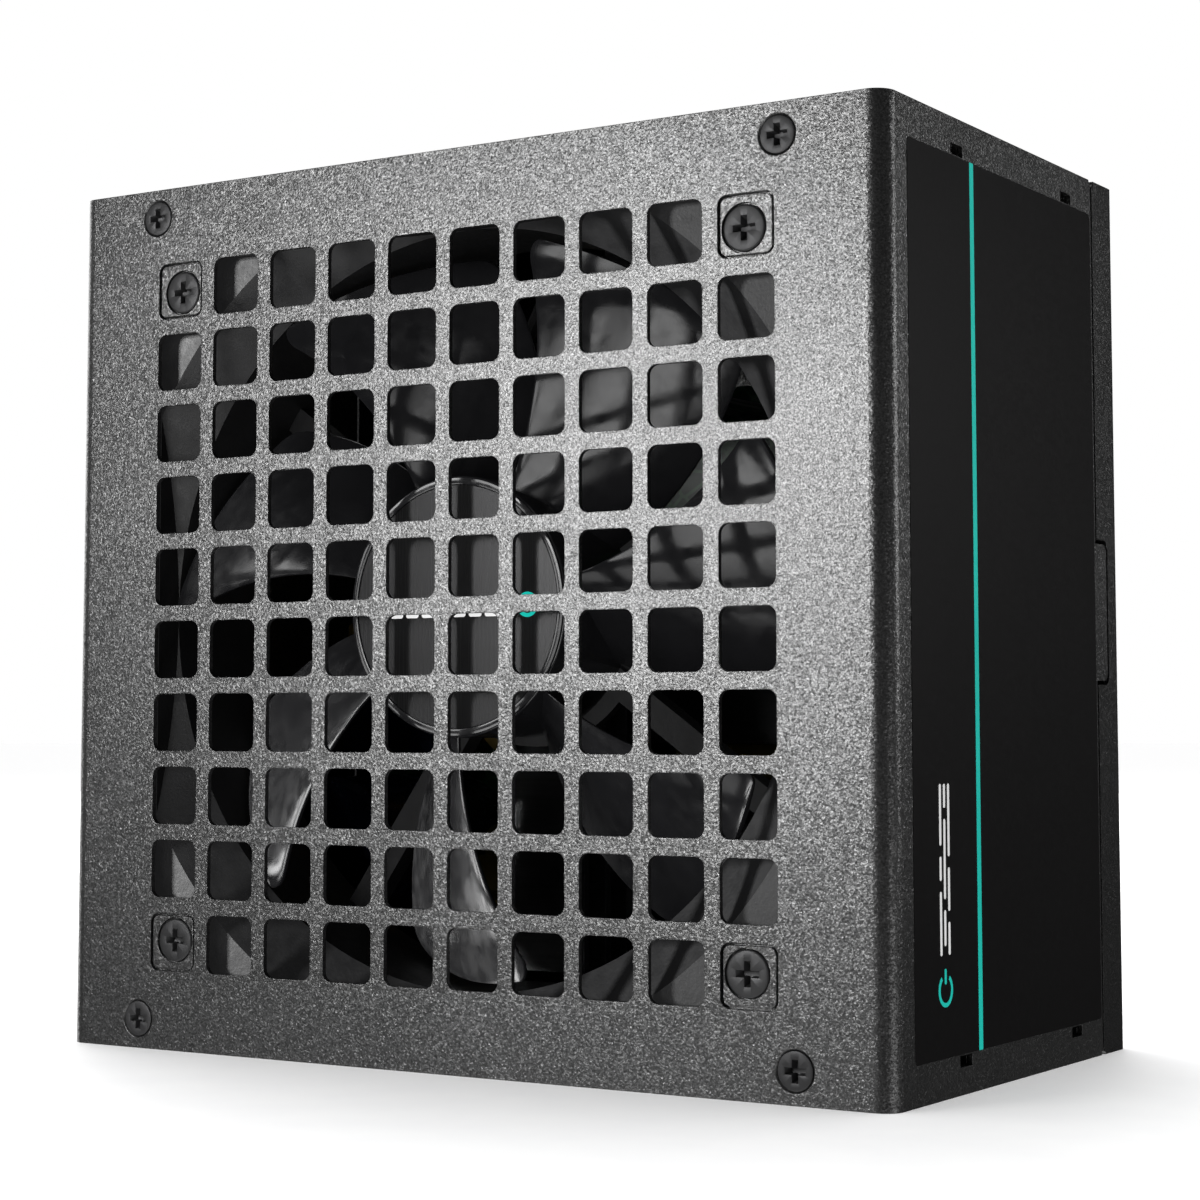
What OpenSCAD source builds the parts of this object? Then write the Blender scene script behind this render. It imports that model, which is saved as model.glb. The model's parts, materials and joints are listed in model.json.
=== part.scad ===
// Computer power supply unit, ATX size, with a 120 mm fan.
// It stands on its cable end: the fan face looks along -Y and the mains end is on top (+Z).

/* [Case] */
// Width across the fan face
case_w = 150; // [150:1:154]
// Depth from the fan face to the back plate
case_d = 86; // [86:1:90]
// Length from the cable end to the mains end
case_h = 140; // [140:1:146]
// Thickness of the steel sheet
sheet = 0.8; // [0.7:0.1:0.9]
// Outer radius of the long bends
bend_r = 3; // [2.5:0.5:4]
// Distance from the fan face to the seam between the shells
seam_d = 75; // [74:0.5:76]
// Gap along the seam between the two shells
seam_gap = 0.6; // [0.4:0.1:0.8]
// Air gap where the base slips inside the cover
slip_gap = 0.1; // [0.1:0.05:0.2]

/* [Grille] */
// Openings along each side of the square grid
grille_n = 10; // [8:2:10]
// Side of one square opening
hole_side = 9.2; // [8.6:0.1:9.6]
// Distance between the centres of the openings
hole_pitch = 11.75; // [11.7:0.05:11.8]
// Corner radius of one opening
hole_r = 1.5; // [1:0.25:2]
// How far the corner pads sit below the fan face
pad_depth = 0.2; // [0.1:0.1:0.4]
// Width of the groove round each corner pad
pad_groove = 0.4; // [0.3:0.1:0.6]

/* [Fan] */
// Side of the square fan frame
fan_side = 120; // [119.5:0.1:120.4]
// Depth of the fan frame
fan_depth = 25; // [25:0.1:25.5]
// Distance between the fan screws
fan_pitch = 105; // [104.6:0.1:105.4]
// Number of blades
blades = 7; // [5:1:9]
// Radius of the blade tips
tip_r = 57.5; // [56:0.25:57.5]
// Radius of the hub
hub_r = 20; // [19.75:0.25:20.5]

/* [Mains end] */
// Centre of the mains inlet across the wall
inlet_x = -40; // [-42:1:-38]
// Centre of the mains inlet, towards the back plate
inlet_y = 20; // [18:1:21]
// Centre of the rocker switch across the wall
switch_x = 2; // [0:1:4]
// Centre of the rocker switch, towards the back plate
switch_y = 20; // [18:1:21]
// Travel of the rocker between its two stops, in degrees
rocker_travel = 20; // [16:1:20]
// Width of one vent opening across its flats
vent_flat = 5.6; // [4:0.2:5.8]

/* [Cable end] */
// Centre of the cable outlet across the wall
outlet_x = 42; // [38:1:46]
// Clear diameter of the cable outlet
outlet_bore = 27; // [24:0.5:28]

/* [Hidden] */
$fn = 64;
eps = 0.01;

// Depth d behind the outer surface of the fan face, as a Y coordinate
function at_depth(d) = -case_d / 2 + d;
half_w = case_w / 2;
half_d = case_d / 2;
seam_y = at_depth(seam_d);
mid_z = case_h / 2;

// Cover: tab across the seam, corner pads, flush screws and locking slots
tab_len = 22;
tab_reach = 4.5;
tab_r = 1.4;
relief_r = 0.9;
grille_reach = (grille_n - 1) / 2 * hole_pitch;
screw_hole_r = 2.4;
end_screw_z = 4.7;
top_screw_x = 58;
low_screw_x = 60;
sink_r = 3.0;
sink_t = 1.3;
sink_gap = 0.1;
shank_r = 1.75;
shank_len = 5;
slot_len = 4.1;
slot_wide = 1.6;
slot_depths = [23.3, 64.5];

// Base: bends at both ends of the back plate, lips inside the cover
end_bend_r = 2;
lip_reach = 9;
lip_half = 66;
side_lip_y0 = -34;
side_lip_y1 = 29;
slip_half = half_w - sheet - slip_gap;
slip_front = at_depth(sheet) + slip_gap;

// Labels
label_film = 0.1;
label_z0 = 5.7;
label_y0 = at_depth(6.6);
label_y1 = at_depth(74.4);
rating_w = 112;
rating_h = 92;

// Stations of the fan, as depths behind the fan face
frame_d0 = 2.3;
groove_d = 1.2;
screw_seat_d = 0.8;
frame_d1 = frame_d0 + fan_depth;
flange_t = 5;
bore_r = 58.6;
flare_r = 67;
wall_r = 59.9;
hub_d0 = 3.6;
hub_d1 = 22.6;
hub_skin = 1.6;
lead_d = 4.6;
blade_rise = 16.2;
blade_t = 1.5;
first_tip = 27;
corner_r = 4;
shaft_r = 1.5;
shaft_gap = 0.03;
fit_gap = 0.01;
tube_r = 5.2;
bearing_r = 4;
base_disc_r = 21.5;
base_disc_t = 2;
strut_angle = 55;
sticker_r = 18.9;
header_x = 24;
header_z = 104;
lead_r = 0.7;
fan_screw_head_r = 3.5;
fan_screw_head_t = 0.6;
fan_screw_seat_r = 3.65;

// Mains end
flange_w = 50;
flange_l = 23;
flange_rise = 2;
inlet_w = 27.6;
inlet_l = 20.6;
inlet_back = 20;
plug_w = 24.4;
plug_l = 16.8;
plug_deep = 17;
plug_chamfer = 4;
inlet_screw_half = 20;
bezel_w = 15;
bezel_l = 21;
rocker_w = 10.6;
rocker_r = 8.2;
rocker_open_w = 11.2;
rocker_open_l = 17;
pivot_z = case_h - 1;
pivot_r = 1.2;
switch_back = 16;
vent_pitch = 7;
vent_x = 66;
vent_y0 = -33.5;
vent_y1 = 34;
earth_x = -10;
earth_y = 4;

// Case screws on the mains end wall, placed as the ATX standard places them
case_screws = [[-69, 37], [69, 37], [-69, -27], [45, -37]];
case_screw_r = 1.9;
collar_r = 3;
collar_t = 1.4;

// Cable end
outlet_y = 14;
grommet_wall = 2;

// Main circuit board, parallel to the back plate with its parts towards the fan
board_w = 140;
board_z0 = 9;
board_z1 = 111;
board_y = 33;
board_t = 1.6;
standoff_x = 65;
standoff_inset = 5;
standoff_r = 3.2;
plate_hole_r = 2.6;

// ---- shared shapes ----

module round_square(w, h, r) {
    square([w - 2 * r, h], center = true);
    square([w, h - 2 * r], center = true);
    for (sx = [-1, 1], sy = [-1, 1]) translate([sx * (w / 2 - r), sy * (h / 2 - r)]) circle(r);
}

// A flat shape drawn in X and Z, filled from depth d0 to depth d1 behind the fan face
module slab(d0, d1) {
    translate([0, at_depth(d1), 0]) rotate([90, 0, 0]) linear_extrude(d1 - d0) children();
}

// A flat shape drawn in Y and Z, filled from x0 to x1
module side_plate(x0, x1) {
    translate([x0, 0, 0]) rotate([90, 0, 90]) linear_extrude(x1 - x0) children();
}

// A disc on the fan axis
module disc(d0, d1, r) {
    slab(d0, d1) translate([0, mid_z]) circle(r);
}

// A ring on the fan axis
module ring(d0, d1, r_in, r_out) {
    slab(d0, d1) translate([0, mid_z]) difference() {
        circle(r_out);
        circle(r_in);
    }
}

// Something on the board: X stays across, Y becomes up and Z becomes height off the board
module on_board(x, z) {
    translate([x, board_y, z]) rotate([90, 0, 0]) children();
}

// Block that stands on its base, centred in X and Y
module block(w, l, h) {
    translate([-w / 2, -l / 2, 0]) cube([w, l, h]);
}

// Crossed driver recess, cut from z = 0 upwards
module cross_recess(reach, deep) {
    wide = 1.1;
    for (a = [0, 90]) rotate(a)
        translate([-reach, -wide / 2, -eps]) cube([2 * reach, wide, deep + eps]);
}

// Toroid core that lies flat at height h off the board
module toroid_core(mean_r, w, l, h) {
    translate([0, 0, h - l / 2]) difference() {
        cylinder(h = l, r = mean_r + w / 2);
        translate([0, 0, -1]) cylinder(h = l + 2, r = mean_r - w / 2);
    }
}

// Turns of wire round a flat toroid core
module toroid_turns(mean_r, loop_r, wire_r, turns, h) {
    for (i = [0 : turns - 1])
        rotate((i + 0.5) * 360 / turns) translate([mean_r, 0, h]) rotate([90, 0, 0])
            rotate_extrude() translate([loop_r, 0]) circle(wire_r, $fn = 24);
}

// Smooth curve through chosen points
function curve_point(a, b, c, d, t) =
    0.5 * (2 * b + (c - a) * t + (2 * a - 5 * b + 4 * c - d) * t * t + (3 * b - a - 3 * c + d) * t * t * t);
function curve(p, steps) = concat(
    [for (i = [0 : len(p) - 2]) for (k = [0 : steps - 1])
        curve_point(p[max(i - 1, 0)], p[i], p[i + 1], p[min(i + 2, len(p) - 1)], k / steps)],
    [p[len(p) - 1]]
);
function unit(v) = v / norm(v);

// Round wire along points. The guide is a direction that the wire never runs along.
module wire(points, r, guide, sides = 8) {
    n = len(points);
    ahead = [for (i = [0 : n - 1]) unit(points[min(i + 1, n - 1)] - points[max(i - 1, 0)])];
    across = [for (i = [0 : n - 1]) unit(cross(ahead[i], guide))];
    rings = [for (i = [0 : n - 1]) for (k = [0 : sides - 1])
        points[i] + r * (cos(360 * k / sides) * across[i] + sin(360 * k / sides) * cross(ahead[i], across[i]))];
    sleeve = [for (i = [0 : n - 2]) for (k = [0 : sides - 1])
        let (a = i * sides + k, b = i * sides + (k + 1) % sides)
            each [[a, a + sides, b], [b, a + sides, b + sides]]];
    start_cap = [for (k = [0 : sides - 1]) k];
    end_cap = [for (k = [0 : sides - 1]) n * sides - 1 - k];
    polyhedron(rings, concat(sleeve, [start_cap], [end_cap]));
}

// ---- case ----

// Plan of the cover drawn in by inset, with its open end at y_end
module cover_plan(inset, y_end) {
    r = bend_r - inset;
    x = half_w - inset;
    y = at_depth(inset);
    translate([-x, y + r]) square([2 * x, y_end - y - r]);
    translate([r - x, y]) square([2 * (x - r), 2 * r]);
    for (s = [-1, 1]) translate([s * (x - r), y + r]) circle(r);
}

module corner_cells() {
    for (sx = [-1, 1], sz = [-1, 1])
        translate([sx * grille_reach, mid_z + sz * grille_reach]) children();
}

module open_cells() {
    last = grille_n - 1;
    for (i = [0 : last], k = [0 : last])
        if ((i > 0 && i < last) || (k > 0 && k < last))
            translate([i * hole_pitch - grille_reach, mid_z + k * hole_pitch - grille_reach]) children();
}

module fan_screw_places() {
    for (sx = [-1, 1], sz = [-1, 1])
        translate([sx * fan_pitch / 2, mid_z + sz * fan_pitch / 2]) children();
}

// The four flush screws that hold the cover, each turned so that +Z points into the case
module cover_screw_places() {
    for (s = [-1, 1]) {
        translate([s * top_screw_x, -half_d, case_h - end_screw_z]) rotate([-90, 0, 0]) children();
        translate([s * low_screw_x, -half_d, end_screw_z]) rotate([-90, 0, 0]) children();
    }
}

// Countersink with a clear hole below it
module screw_sink() {
    translate([0, 0, -eps])
        cylinder(h = sink_t + eps, r1 = sink_r + sink_gap, r2 = shank_r + sink_gap);
    cylinder(h = shank_len + 1, r = shank_r + sink_gap);
}

// Tab in Y and Z that bridges the seam, grown by gap
module seam_tab(gap) {
    len = tab_len + 2 * gap;
    far = seam_y + tab_reach + gap;
    translate([seam_y - 2, mid_z - len / 2]) square([far - tab_r - seam_y + 2, len]);
    translate([seam_y, mid_z - len / 2 + tab_r]) square([far - seam_y, len - 2 * tab_r]);
    for (s = [-1, 1]) translate([far - tab_r, mid_z + s * (len / 2 - tab_r)]) circle(tab_r);
}

// Locking slots near both ends of a side wall
module side_slots() {
    for (d = slot_depths, z = [end_screw_z, case_h - end_screw_z])
        translate([at_depth(d), z]) square([slot_len, slot_wide], center = true);
}

// Small round notches where the seam meets both ends
module seam_relief() {
    for (x = [-half_w - 1, half_w - 1], z = [0, case_h])
        side_plate(x, x + 2) translate([seam_y + seam_gap / 2, z]) circle(relief_r);
}

module cover_shell() {
    pad_side = hole_side + 2 * sheet;
    color([0.34, 0.34, 0.35]) difference() {
        union() {
            linear_extrude(case_h) difference() {
                cover_plan(0, seam_y);
                cover_plan(sheet, seam_y + 1);
            }
            side_plate(half_w - sheet, half_w) seam_tab(0);
            side_plate(-half_w, sheet - half_w) seam_tab(0);
            slab(sheet / 2, frame_d0) corner_cells() round_square(pad_side, pad_side, hole_r + sheet);
        }
        slab(-1, sheet + 1) open_cells() round_square(hole_side, hole_side, hole_r);
        slab(-1, pad_depth) corner_cells() round_square(hole_side, hole_side, hole_r);
        slab(-1, groove_d) corner_cells() difference() {
            round_square(hole_side, hole_side, hole_r);
            round_square(hole_side - 2 * pad_groove, hole_side - 2 * pad_groove, hole_r - pad_groove);
        }
        slab(-1, screw_seat_d) fan_screw_places() circle(fan_screw_seat_r);
        slab(-1, frame_d0 + 1) fan_screw_places() circle(screw_hole_r);
        cover_screw_places() screw_sink();
        side_plate(-half_w - 1, half_w + 1) side_slots();
        seam_relief();
    }
}

// Plan of the full-width part of the base, behind the seam
module base_plan_wide(inset, start) {
    r = bend_r - inset;
    x = half_w - inset;
    y = half_d - inset;
    translate([-x, start]) square([2 * x, y - r - start]);
    translate([r - x, y - 2 * r]) square([2 * (x - r), 2 * r]);
    for (s = [-1, 1]) translate([s * (x - r), y - r]) circle(r);
}

// Plan of the end walls, which slip inside the cover in front of the seam
module base_plan_narrow() {
    r = bend_r - sheet - slip_gap;
    x = slip_half;
    translate([-x, slip_front + r]) square([2 * x, seam_y + seam_gap - slip_front - r + eps]);
    translate([r - x, slip_front]) square([2 * (x - r), 2 * r]);
    for (s = [-1, 1]) translate([s * (x - r), slip_front + r]) circle(r);
}

// Profile of the base in Y and Z, with its bends along both ends of the back plate
module base_profile(inset) {
    r = end_bend_r - inset;
    y = half_d - inset;
    translate([-half_d - 2, inset]) square([y - r + half_d + 2, case_h - 2 * inset]);
    translate([0, inset + r]) square([y, case_h - 2 * (inset + r)]);
    for (z = [inset + r, case_h - inset - r]) translate([y - r, z]) circle(r);
}

// Tray of the base. The hollow runs on through the front and through the sides before the seam.
module base_tray() {
    start = seam_y + seam_gap;
    difference() {
        intersection() {
            linear_extrude(case_h) {
                base_plan_wide(0, start);
                base_plan_narrow();
            }
            side_plate(-half_w - 2, half_w + 2) base_profile(0);
        }
        intersection() {
            linear_extrude(case_h) {
                base_plan_wide(sheet, start - 2);
                translate([-half_w, slip_front - 2]) square([case_w, start - slip_front + 2]);
            }
            side_plate(-half_w - 2, half_w + 2) base_profile(sheet);
        }
    }
}

// Folded lips that stand just inside the cover at both ends
module base_lips() {
    tall = lip_reach - sheet / 2;
    for (z = [sheet / 2, case_h - lip_reach]) {
        translate([-lip_half, slip_front, z]) cube([2 * lip_half, sheet, tall]);
        for (s = [0, 1]) mirror([s, 0, 0])
            translate([slip_half - sheet, side_lip_y0, z]) cube([sheet, side_lip_y1 - side_lip_y0, tall]);
    }
}

function off_box(x, y, cx, cy, w, l) = abs(x - cx) > w / 2 + vent_flat || abs(y - cy) > l / 2 + vent_flat;
function off_point(x, y, p, reach) = norm([x, y] - p) > reach + vent_flat / 2 + 1;
function vent_clear(x, y) =
    off_box(x, y, inlet_x, inlet_y, flange_w, flange_l - 4)
    && off_box(x, y, switch_x, switch_y, bezel_w, bezel_l - 4)
    && off_point(x, y, [earth_x, earth_y], 3.4)
    && min([for (p = case_screws) off_point(x, y, p, collar_r + 1) ? 1 : 0]) == 1;

// Honeycomb of air openings over the free part of the mains end wall
module vents() {
    row_step = vent_pitch * sin(60);
    rows = floor((vent_y1 - vent_y0) / row_step);
    cols = floor(2 * vent_x / vent_pitch);
    for (j = [0 : rows], i = [0 : cols]) {
        x = (i + (j % 2) / 2) * vent_pitch - vent_x;
        y = vent_y0 + j * row_step;
        if (x <= vent_x && vent_clear(x, y))
            translate([x, y]) rotate(30) circle(vent_flat / 2 / cos(30), $fn = 6);
    }
}

module standoff_places() {
    for (s = [-1, 1], z = [board_z0 + standoff_inset, board_z1 - standoff_inset])
        translate([s * standoff_x, z]) children();
}

module base_chassis() {
    wall_z = case_h - sheet;
    color([0.25, 0.25, 0.26]) difference() {
        union() {
            difference() {
                base_tray();
                side_plate(-half_w - 1, half_w + 1) seam_tab(seam_gap);
            }
            base_lips();
            for (p = case_screws) translate([p[0], p[1], wall_z - collar_t])
                cylinder(h = collar_t + sheet / 2, r = collar_r);
            cover_screw_places() translate([0, 0, sheet + slip_gap + sheet / 2])
                cylinder(h = 2, r = collar_r);
        }
        translate([0, 0, wall_z - 4]) linear_extrude(6) vents();
        for (p = case_screws) translate([p[0], p[1], wall_z - 4]) cylinder(h = 6, r = case_screw_r);
        translate([inlet_x, inlet_y, wall_z - 1]) block(inlet_w + 0.4, inlet_l + 0.4, 3);
        for (s = [-1, 1]) translate([inlet_x + s * inlet_screw_half, inlet_y, wall_z - 1])
            cylinder(h = 3, r = shank_r + sink_gap);
        translate([switch_x, switch_y, wall_z - 1]) block(13.4, 19.4, 3);
        translate([earth_x, earth_y, wall_z - 1]) cylinder(h = 3, r = 2.05);
        translate([outlet_x, outlet_y, -1]) cylinder(h = 3, r = outlet_bore / 2 + grommet_wall);
        cover_screw_places() screw_sink();
        slab(case_d - sheet - 1, case_d + 1) standoff_places() circle(plate_hole_r);
        side_plate(-half_w - 1, half_w + 1) side_slots();
        seam_relief();
    }
}

module cover_screws() {
    color([0.22, 0.22, 0.23]) cover_screw_places() difference() {
        union() {
            cylinder(h = sink_t, r1 = sink_r, r2 = shank_r);
            cylinder(h = shank_len, r = shank_r);
        }
        cross_recess(2, 1);
    }
}

// Film on one side wall, from x0 outwards
module side_film(x0) {
    side_plate(x0, x0 + label_film)
        translate([(label_y0 + label_y1) / 2, mid_z])
            round_square(label_y1 - label_y0, case_h - 2 * label_z0, 1);
}

module side_label_right() {
    color([0.1, 0.1, 0.1]) side_film(half_w);
}

module side_label_left() {
    color([0.1, 0.1, 0.1]) side_film(-half_w - label_film);
}

module rating_label() {
    color([0.14, 0.14, 0.14]) slab(case_d, case_d + label_film)
        translate([0, mid_z]) round_square(rating_w, rating_h, 2);
}

// ---- fan ----

module fan_screws() {
    bevel = 0.25;
    color([0.24, 0.24, 0.25]) for (sx = [-1, 1], sz = [-1, 1])
        translate([sx * fan_pitch / 2, at_depth(screw_seat_d), mid_z + sz * fan_pitch / 2])
            rotate([-90, 0, 0]) difference() {
                union() {
                    translate([0, 0, -fan_screw_head_t])
                        cylinder(h = bevel, r1 = fan_screw_head_r - bevel, r2 = fan_screw_head_r);
                    translate([0, 0, bevel - fan_screw_head_t])
                        cylinder(h = fan_screw_head_t - bevel, r = fan_screw_head_r);
                    cylinder(h = 8, r = 2.1);
                }
                translate([0, 0, -fan_screw_head_t]) cross_recess(2, 0.9);
            }
}

// Struts that carry the motor at the back of the frame
module struts() {
    for (k = [0 : 3]) translate([0, mid_z]) rotate(strut_angle + 90 * k)
        translate([base_disc_r - 3, k == 0 ? -3.5 : -2.2]) square([bore_r - base_disc_r + 3.6, k == 0 ? 7 : 4.4]);
}

module fan_frame() {
    disc_d = frame_d1 - base_disc_t;
    color([0.16, 0.16, 0.17]) difference() {
        union() {
            difference() {
                union() {
                    for (d = [frame_d0, frame_d1 - flange_t])
                        slab(d, d + flange_t) translate([0, mid_z]) round_square(fan_side, fan_side, 4);
                    disc(frame_d0 + 1, frame_d1 - 1, wall_r);
                    slab(frame_d0 + 1, frame_d1 - 1) fan_screw_places() circle(4);
                }
                disc(frame_d0 - 1, frame_d1 + 1, bore_r);
                intersection() {
                    translate([0, at_depth(frame_d0 - eps), mid_z]) rotate([-90, 0, 0])
                        cylinder(h = flange_t - 0.2, r1 = flare_r, r2 = bore_r);
                    slab(frame_d0 - 1, frame_d1) translate([0, mid_z])
                        square(2 * bore_r, center = true);
                }
            }
            slab(frame_d1 - 3.5, frame_d1) struts();
            disc(disc_d, frame_d1, base_disc_r);
            disc(9, frame_d1, tube_r);
        }
        disc(8, disc_d + 0.4, bearing_r);
        slab(0, frame_d1 + 1) fan_screw_places() circle(2.15);
        slab(disc_d - 1, frame_d1 + 1) translate([0, mid_z]) rotate(strut_angle) translate([13, 0]) circle(2);
    }
}

// Leading edge of a blade in degrees before its tip, and how much of a turn it covers
function lead_sweep(r) = -15 * (1 - pow((r - hub_r) / (tip_r - hub_r), 1.35));
function blade_span(r) = 37 - 2.5 * (r - hub_r) / (tip_r - hub_r);
// How far the rounded tip corners draw both edges back, in degrees
function corner_cut(r) =
    let (e = max(0, r - tip_r + corner_r)) (corner_r - sqrt(corner_r * corner_r - e * e)) / r * 180 / PI;
function blade_angle(r, s) =
    let (cut = corner_cut(r)) lead_sweep(max(r, hub_r)) - cut - s * (blade_span(r) - 2 * cut);
function blade_depth(s) = lead_d + blade_t / 2 + blade_rise * (0.7 * s + 0.3 * s * s);
function blade_half(s) = blade_t / 2 * (0.35 + 0.65 * pow(sin(180 * pow(s, 0.7)), 0.6));
blade_radii = concat(
    [for (i = [0 : 6]) hub_r - 0.6 + (tip_r - corner_r - hub_r + 0.6) * i / 6],
    [for (a = [25, 50, 70]) tip_r - corner_r + corner_r * sin(a)]
);
chord_steps = 10;

// One blade: its front surface, its back surface and the strips that join them
module blade() {
    nr = len(blade_radii);
    nc = chord_steps + 1;
    points = [for (side = [-1, 1]) for (r = blade_radii) for (j = [0 : chord_steps])
        let (s = j / chord_steps, a = blade_angle(r, s))
            [r * cos(a), blade_depth(s) + side * blade_half(s), r * sin(a)]];
    back = nr * nc;
    skin = [for (i = [0 : nr - 2]) for (j = [0 : chord_steps - 1])
        let (a = i * nc + j, b = a + 1, c = a + nc, d = c + 1)
            each [[a, c, b], [b, c, d], [back + a, back + b, back + c], [back + b, back + d, back + c]]];
    long_edges = [for (i = [0 : nr - 2])
        let (a = i * nc, c = a + nc, e = a + chord_steps, g = e + nc)
            each [[a, back + a, c], [c, back + a, back + c], [e, g, back + e], [g, back + g, back + e]]];
    short_edges = [for (j = [0 : chord_steps - 1])
        let (a = j, b = j + 1, c = (nr - 1) * nc + j, d = c + 1)
            each [[a, b, back + a], [b, back + b, back + a], [c, back + c, d], [d, back + c, back + d]]];
    polyhedron(points, concat(skin, long_edges, short_edges));
}

module fan_impeller() {
    color([0.07, 0.07, 0.07]) union() {
        difference() {
            union() {
                ring(hub_d0 + 0.5, hub_d1, hub_r - hub_skin, hub_r);
                disc(hub_d0 + 0.5, hub_d0 + 1.8, hub_r - 1);
                translate([0, at_depth(hub_d0), mid_z]) rotate([-90, 0, 0])
                    cylinder(h = 0.5, r1 = hub_r - 0.6, r2 = hub_r);
                disc(hub_d0 + 1, hub_d0 + 6, 4);
            }
            disc(hub_d0 + 2.5, hub_d0 + 7, shaft_r + fit_gap);
            disc(hub_d0 - 1, hub_d0 + 0.25, sticker_r + 0.05);
        }
        for (k = [0 : blades - 1])
            translate([0, at_depth(0), mid_z]) rotate([0, -first_tip - k * 360 / blades, 0]) blade();
    }
}

module hub_sticker() {
    color([0.3, 0.3, 0.31]) disc(hub_d0 + 0.1, hub_d0 + 0.25, sticker_r);
}

module fan_shaft() {
    color([0.75, 0.75, 0.77]) difference() {
        disc(hub_d0 + 2.5 + eps, 24.6, shaft_r);
        ring(23.75, 24.15, 1.1, 2);
    }
}

module shaft_clip() {
    color([0.9, 0.9, 0.88]) ring(23.78, 24.12, 1.15, 2.5);
}

module rotor_yoke() {
    color([0.62, 0.62, 0.65]) union() {
        ring(6, 21.4, 17.3, 18.3);
        ring(5.5, 6.5, 4.2, 18.3);
    }
}

module rotor_magnet() {
    color([0.2, 0.2, 0.21]) ring(8.5, 21.2, 15.4, 17.28);
}

module fan_bearing() {
    color([0.78, 0.62, 0.3]) ring(9.6, 23.5, shaft_r + shaft_gap, bearing_r - fit_gap);
}

// Four-pole stator plates
module stator_core() {
    color([0.55, 0.56, 0.58]) slab(12, 18) translate([0, mid_z]) difference() {
        union() {
            circle(8);
            difference() {
                circle(14.6);
                circle(12.8);
                for (a = [45 : 90 : 315]) rotate(a) translate([14, 0]) square([8, 4], center = true);
            }
            for (a = [0, 90]) rotate(a) square([27, 4.4], center = true);
        }
        circle(tube_r + fit_gap);
    }
}

// A wound coil round each stator arm
module stator_coils() {
    color([0.72, 0.42, 0.2]) translate([0, at_depth(15), mid_z]) for (a = [0 : 90 : 270]) rotate([0, a, 0])
        difference() {
            translate([8.6, -4.6, -3.8]) cube([3.4, 9.2, 7.6]);
            translate([8, -3.05, -2.25]) cube([5, 6.1, 4.5]);
        }
}

module fan_circuit_board() {
    color([0.1, 0.35, 0.2]) ring(23.2, 24.2, tube_r + 0.1, 16.5);
}

// Two insulated wires from the motor along a strut and down to the header on the board
module fan_lead() {
    for (s = [-1, 1]) {
        p = [[13, 24.4, 0], [13, 27, 0], [16, 28.9, 0], [24, 29.0, 0], [34, 29.2, 0], [40, 32, 0],
            [41.6, 38, 0], [41.6, 50, 0], [41.6, case_d - 10 - 8.1, 0]];
        c = cos(strut_angle);
        n = sin(strut_angle);
        route = [for (q = p) [q[0] * c - s * 0.85 * n, at_depth(q[1]), mid_z + q[0] * n + s * 0.85 * c]];
        color(s > 0 ? [0.7, 0.1, 0.1] : [0.08, 0.08, 0.08]) wire(curve(route, 4), lead_r, [-n, 0, c]);
    }
}

module fan_header() {
    color([0.92, 0.9, 0.84]) on_board(header_x, header_z) block(8, 5.6, 8);
}

// ---- mains end ----

// Outline of the plug cavity, chamfered on the earth pin's side
module plug_outline() {
    w = plug_w / 2;
    l = plug_l / 2;
    c = plug_chamfer;
    polygon([[-w, -l], [w, -l], [w, l - c], [w - c, l], [c - w, l], [-w, l - c]]);
}

// Blade pins: line and neutral below the middle, earth above it
pin_places = [[-7, -2, 0], [7, -2, 0], [0, 2, 1]];

module inlet_body() {
    top = case_h + flange_rise;
    floor_z = top - plug_deep;
    color([0.08, 0.08, 0.08]) translate([inlet_x, inlet_y, 0]) difference() {
        union() {
            translate([0, 0, case_h]) linear_extrude(flange_rise) round_square(flange_w, flange_l, 4);
            translate([0, 0, case_h - inlet_back]) block(inlet_w, inlet_l, inlet_back + flange_rise / 2);
        }
        translate([0, 0, floor_z]) linear_extrude(plug_deep + 1) plug_outline();
        for (p = pin_places) translate([p[0], p[1], case_h - inlet_back - 1])
            block(2.04, 4.04, inlet_back);
        for (s = [-1, 1]) translate([s * inlet_screw_half, 0, top]) rotate([180, 0, 0]) screw_sink();
    }
}

module inlet_pins() {
    color([0.8, 0.76, 0.6]) translate([inlet_x, inlet_y, 0]) for (p = pin_places) {
        tip = case_h + flange_rise - (p[2] > 0 ? 1.5 : 3);
        translate([p[0], p[1], case_h - inlet_back - 0.2]) block(2, 4, tip - case_h + inlet_back - 0.8);
        translate([p[0], p[1], tip - 1 - 2 * eps]) linear_extrude(1) round_square(1.2, 3.2, 0.5);
        translate([p[0], p[1], case_h - inlet_back - 8]) block(0.8, 4.8, 8);
    }
}

module inlet_screws() {
    color([0.24, 0.24, 0.25]) for (s = [-1, 1])
        translate([inlet_x + s * inlet_screw_half, inlet_y, case_h + flange_rise]) rotate([180, 0, 0])
            difference() {
                union() {
                    cylinder(h = sink_t, r1 = sink_r, r2 = shank_r);
                    cylinder(h = shank_len + 2, r = shank_r);
                }
                cross_recess(2, 1);
            }
}

module switch_housing() {
    color([0.08, 0.08, 0.08]) translate([switch_x, switch_y, 0]) difference() {
        union() {
            translate([0, 0, case_h]) linear_extrude(flange_rise) round_square(bezel_w, bezel_l, 1.5);
            translate([0, 0, case_h - switch_back]) block(13, 19, switch_back + flange_rise / 2);
        }
        translate([0, 0, pivot_z - rocker_r - 2]) block(rocker_open_w, rocker_open_l, 30);
        translate([0, 0, pivot_z]) rotate([0, 90, 0])
            cylinder(h = 20, r = pivot_r + 0.05, center = true);
        for (p = terminal_places) translate([p[0], p[1], case_h - switch_back - 1]) block(0.84, 4.84, 5);
    }
}

terminal_places = [[-3.5, -5], [3.5, -5], [-3.5, 5], [3.5, 5]];

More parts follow.
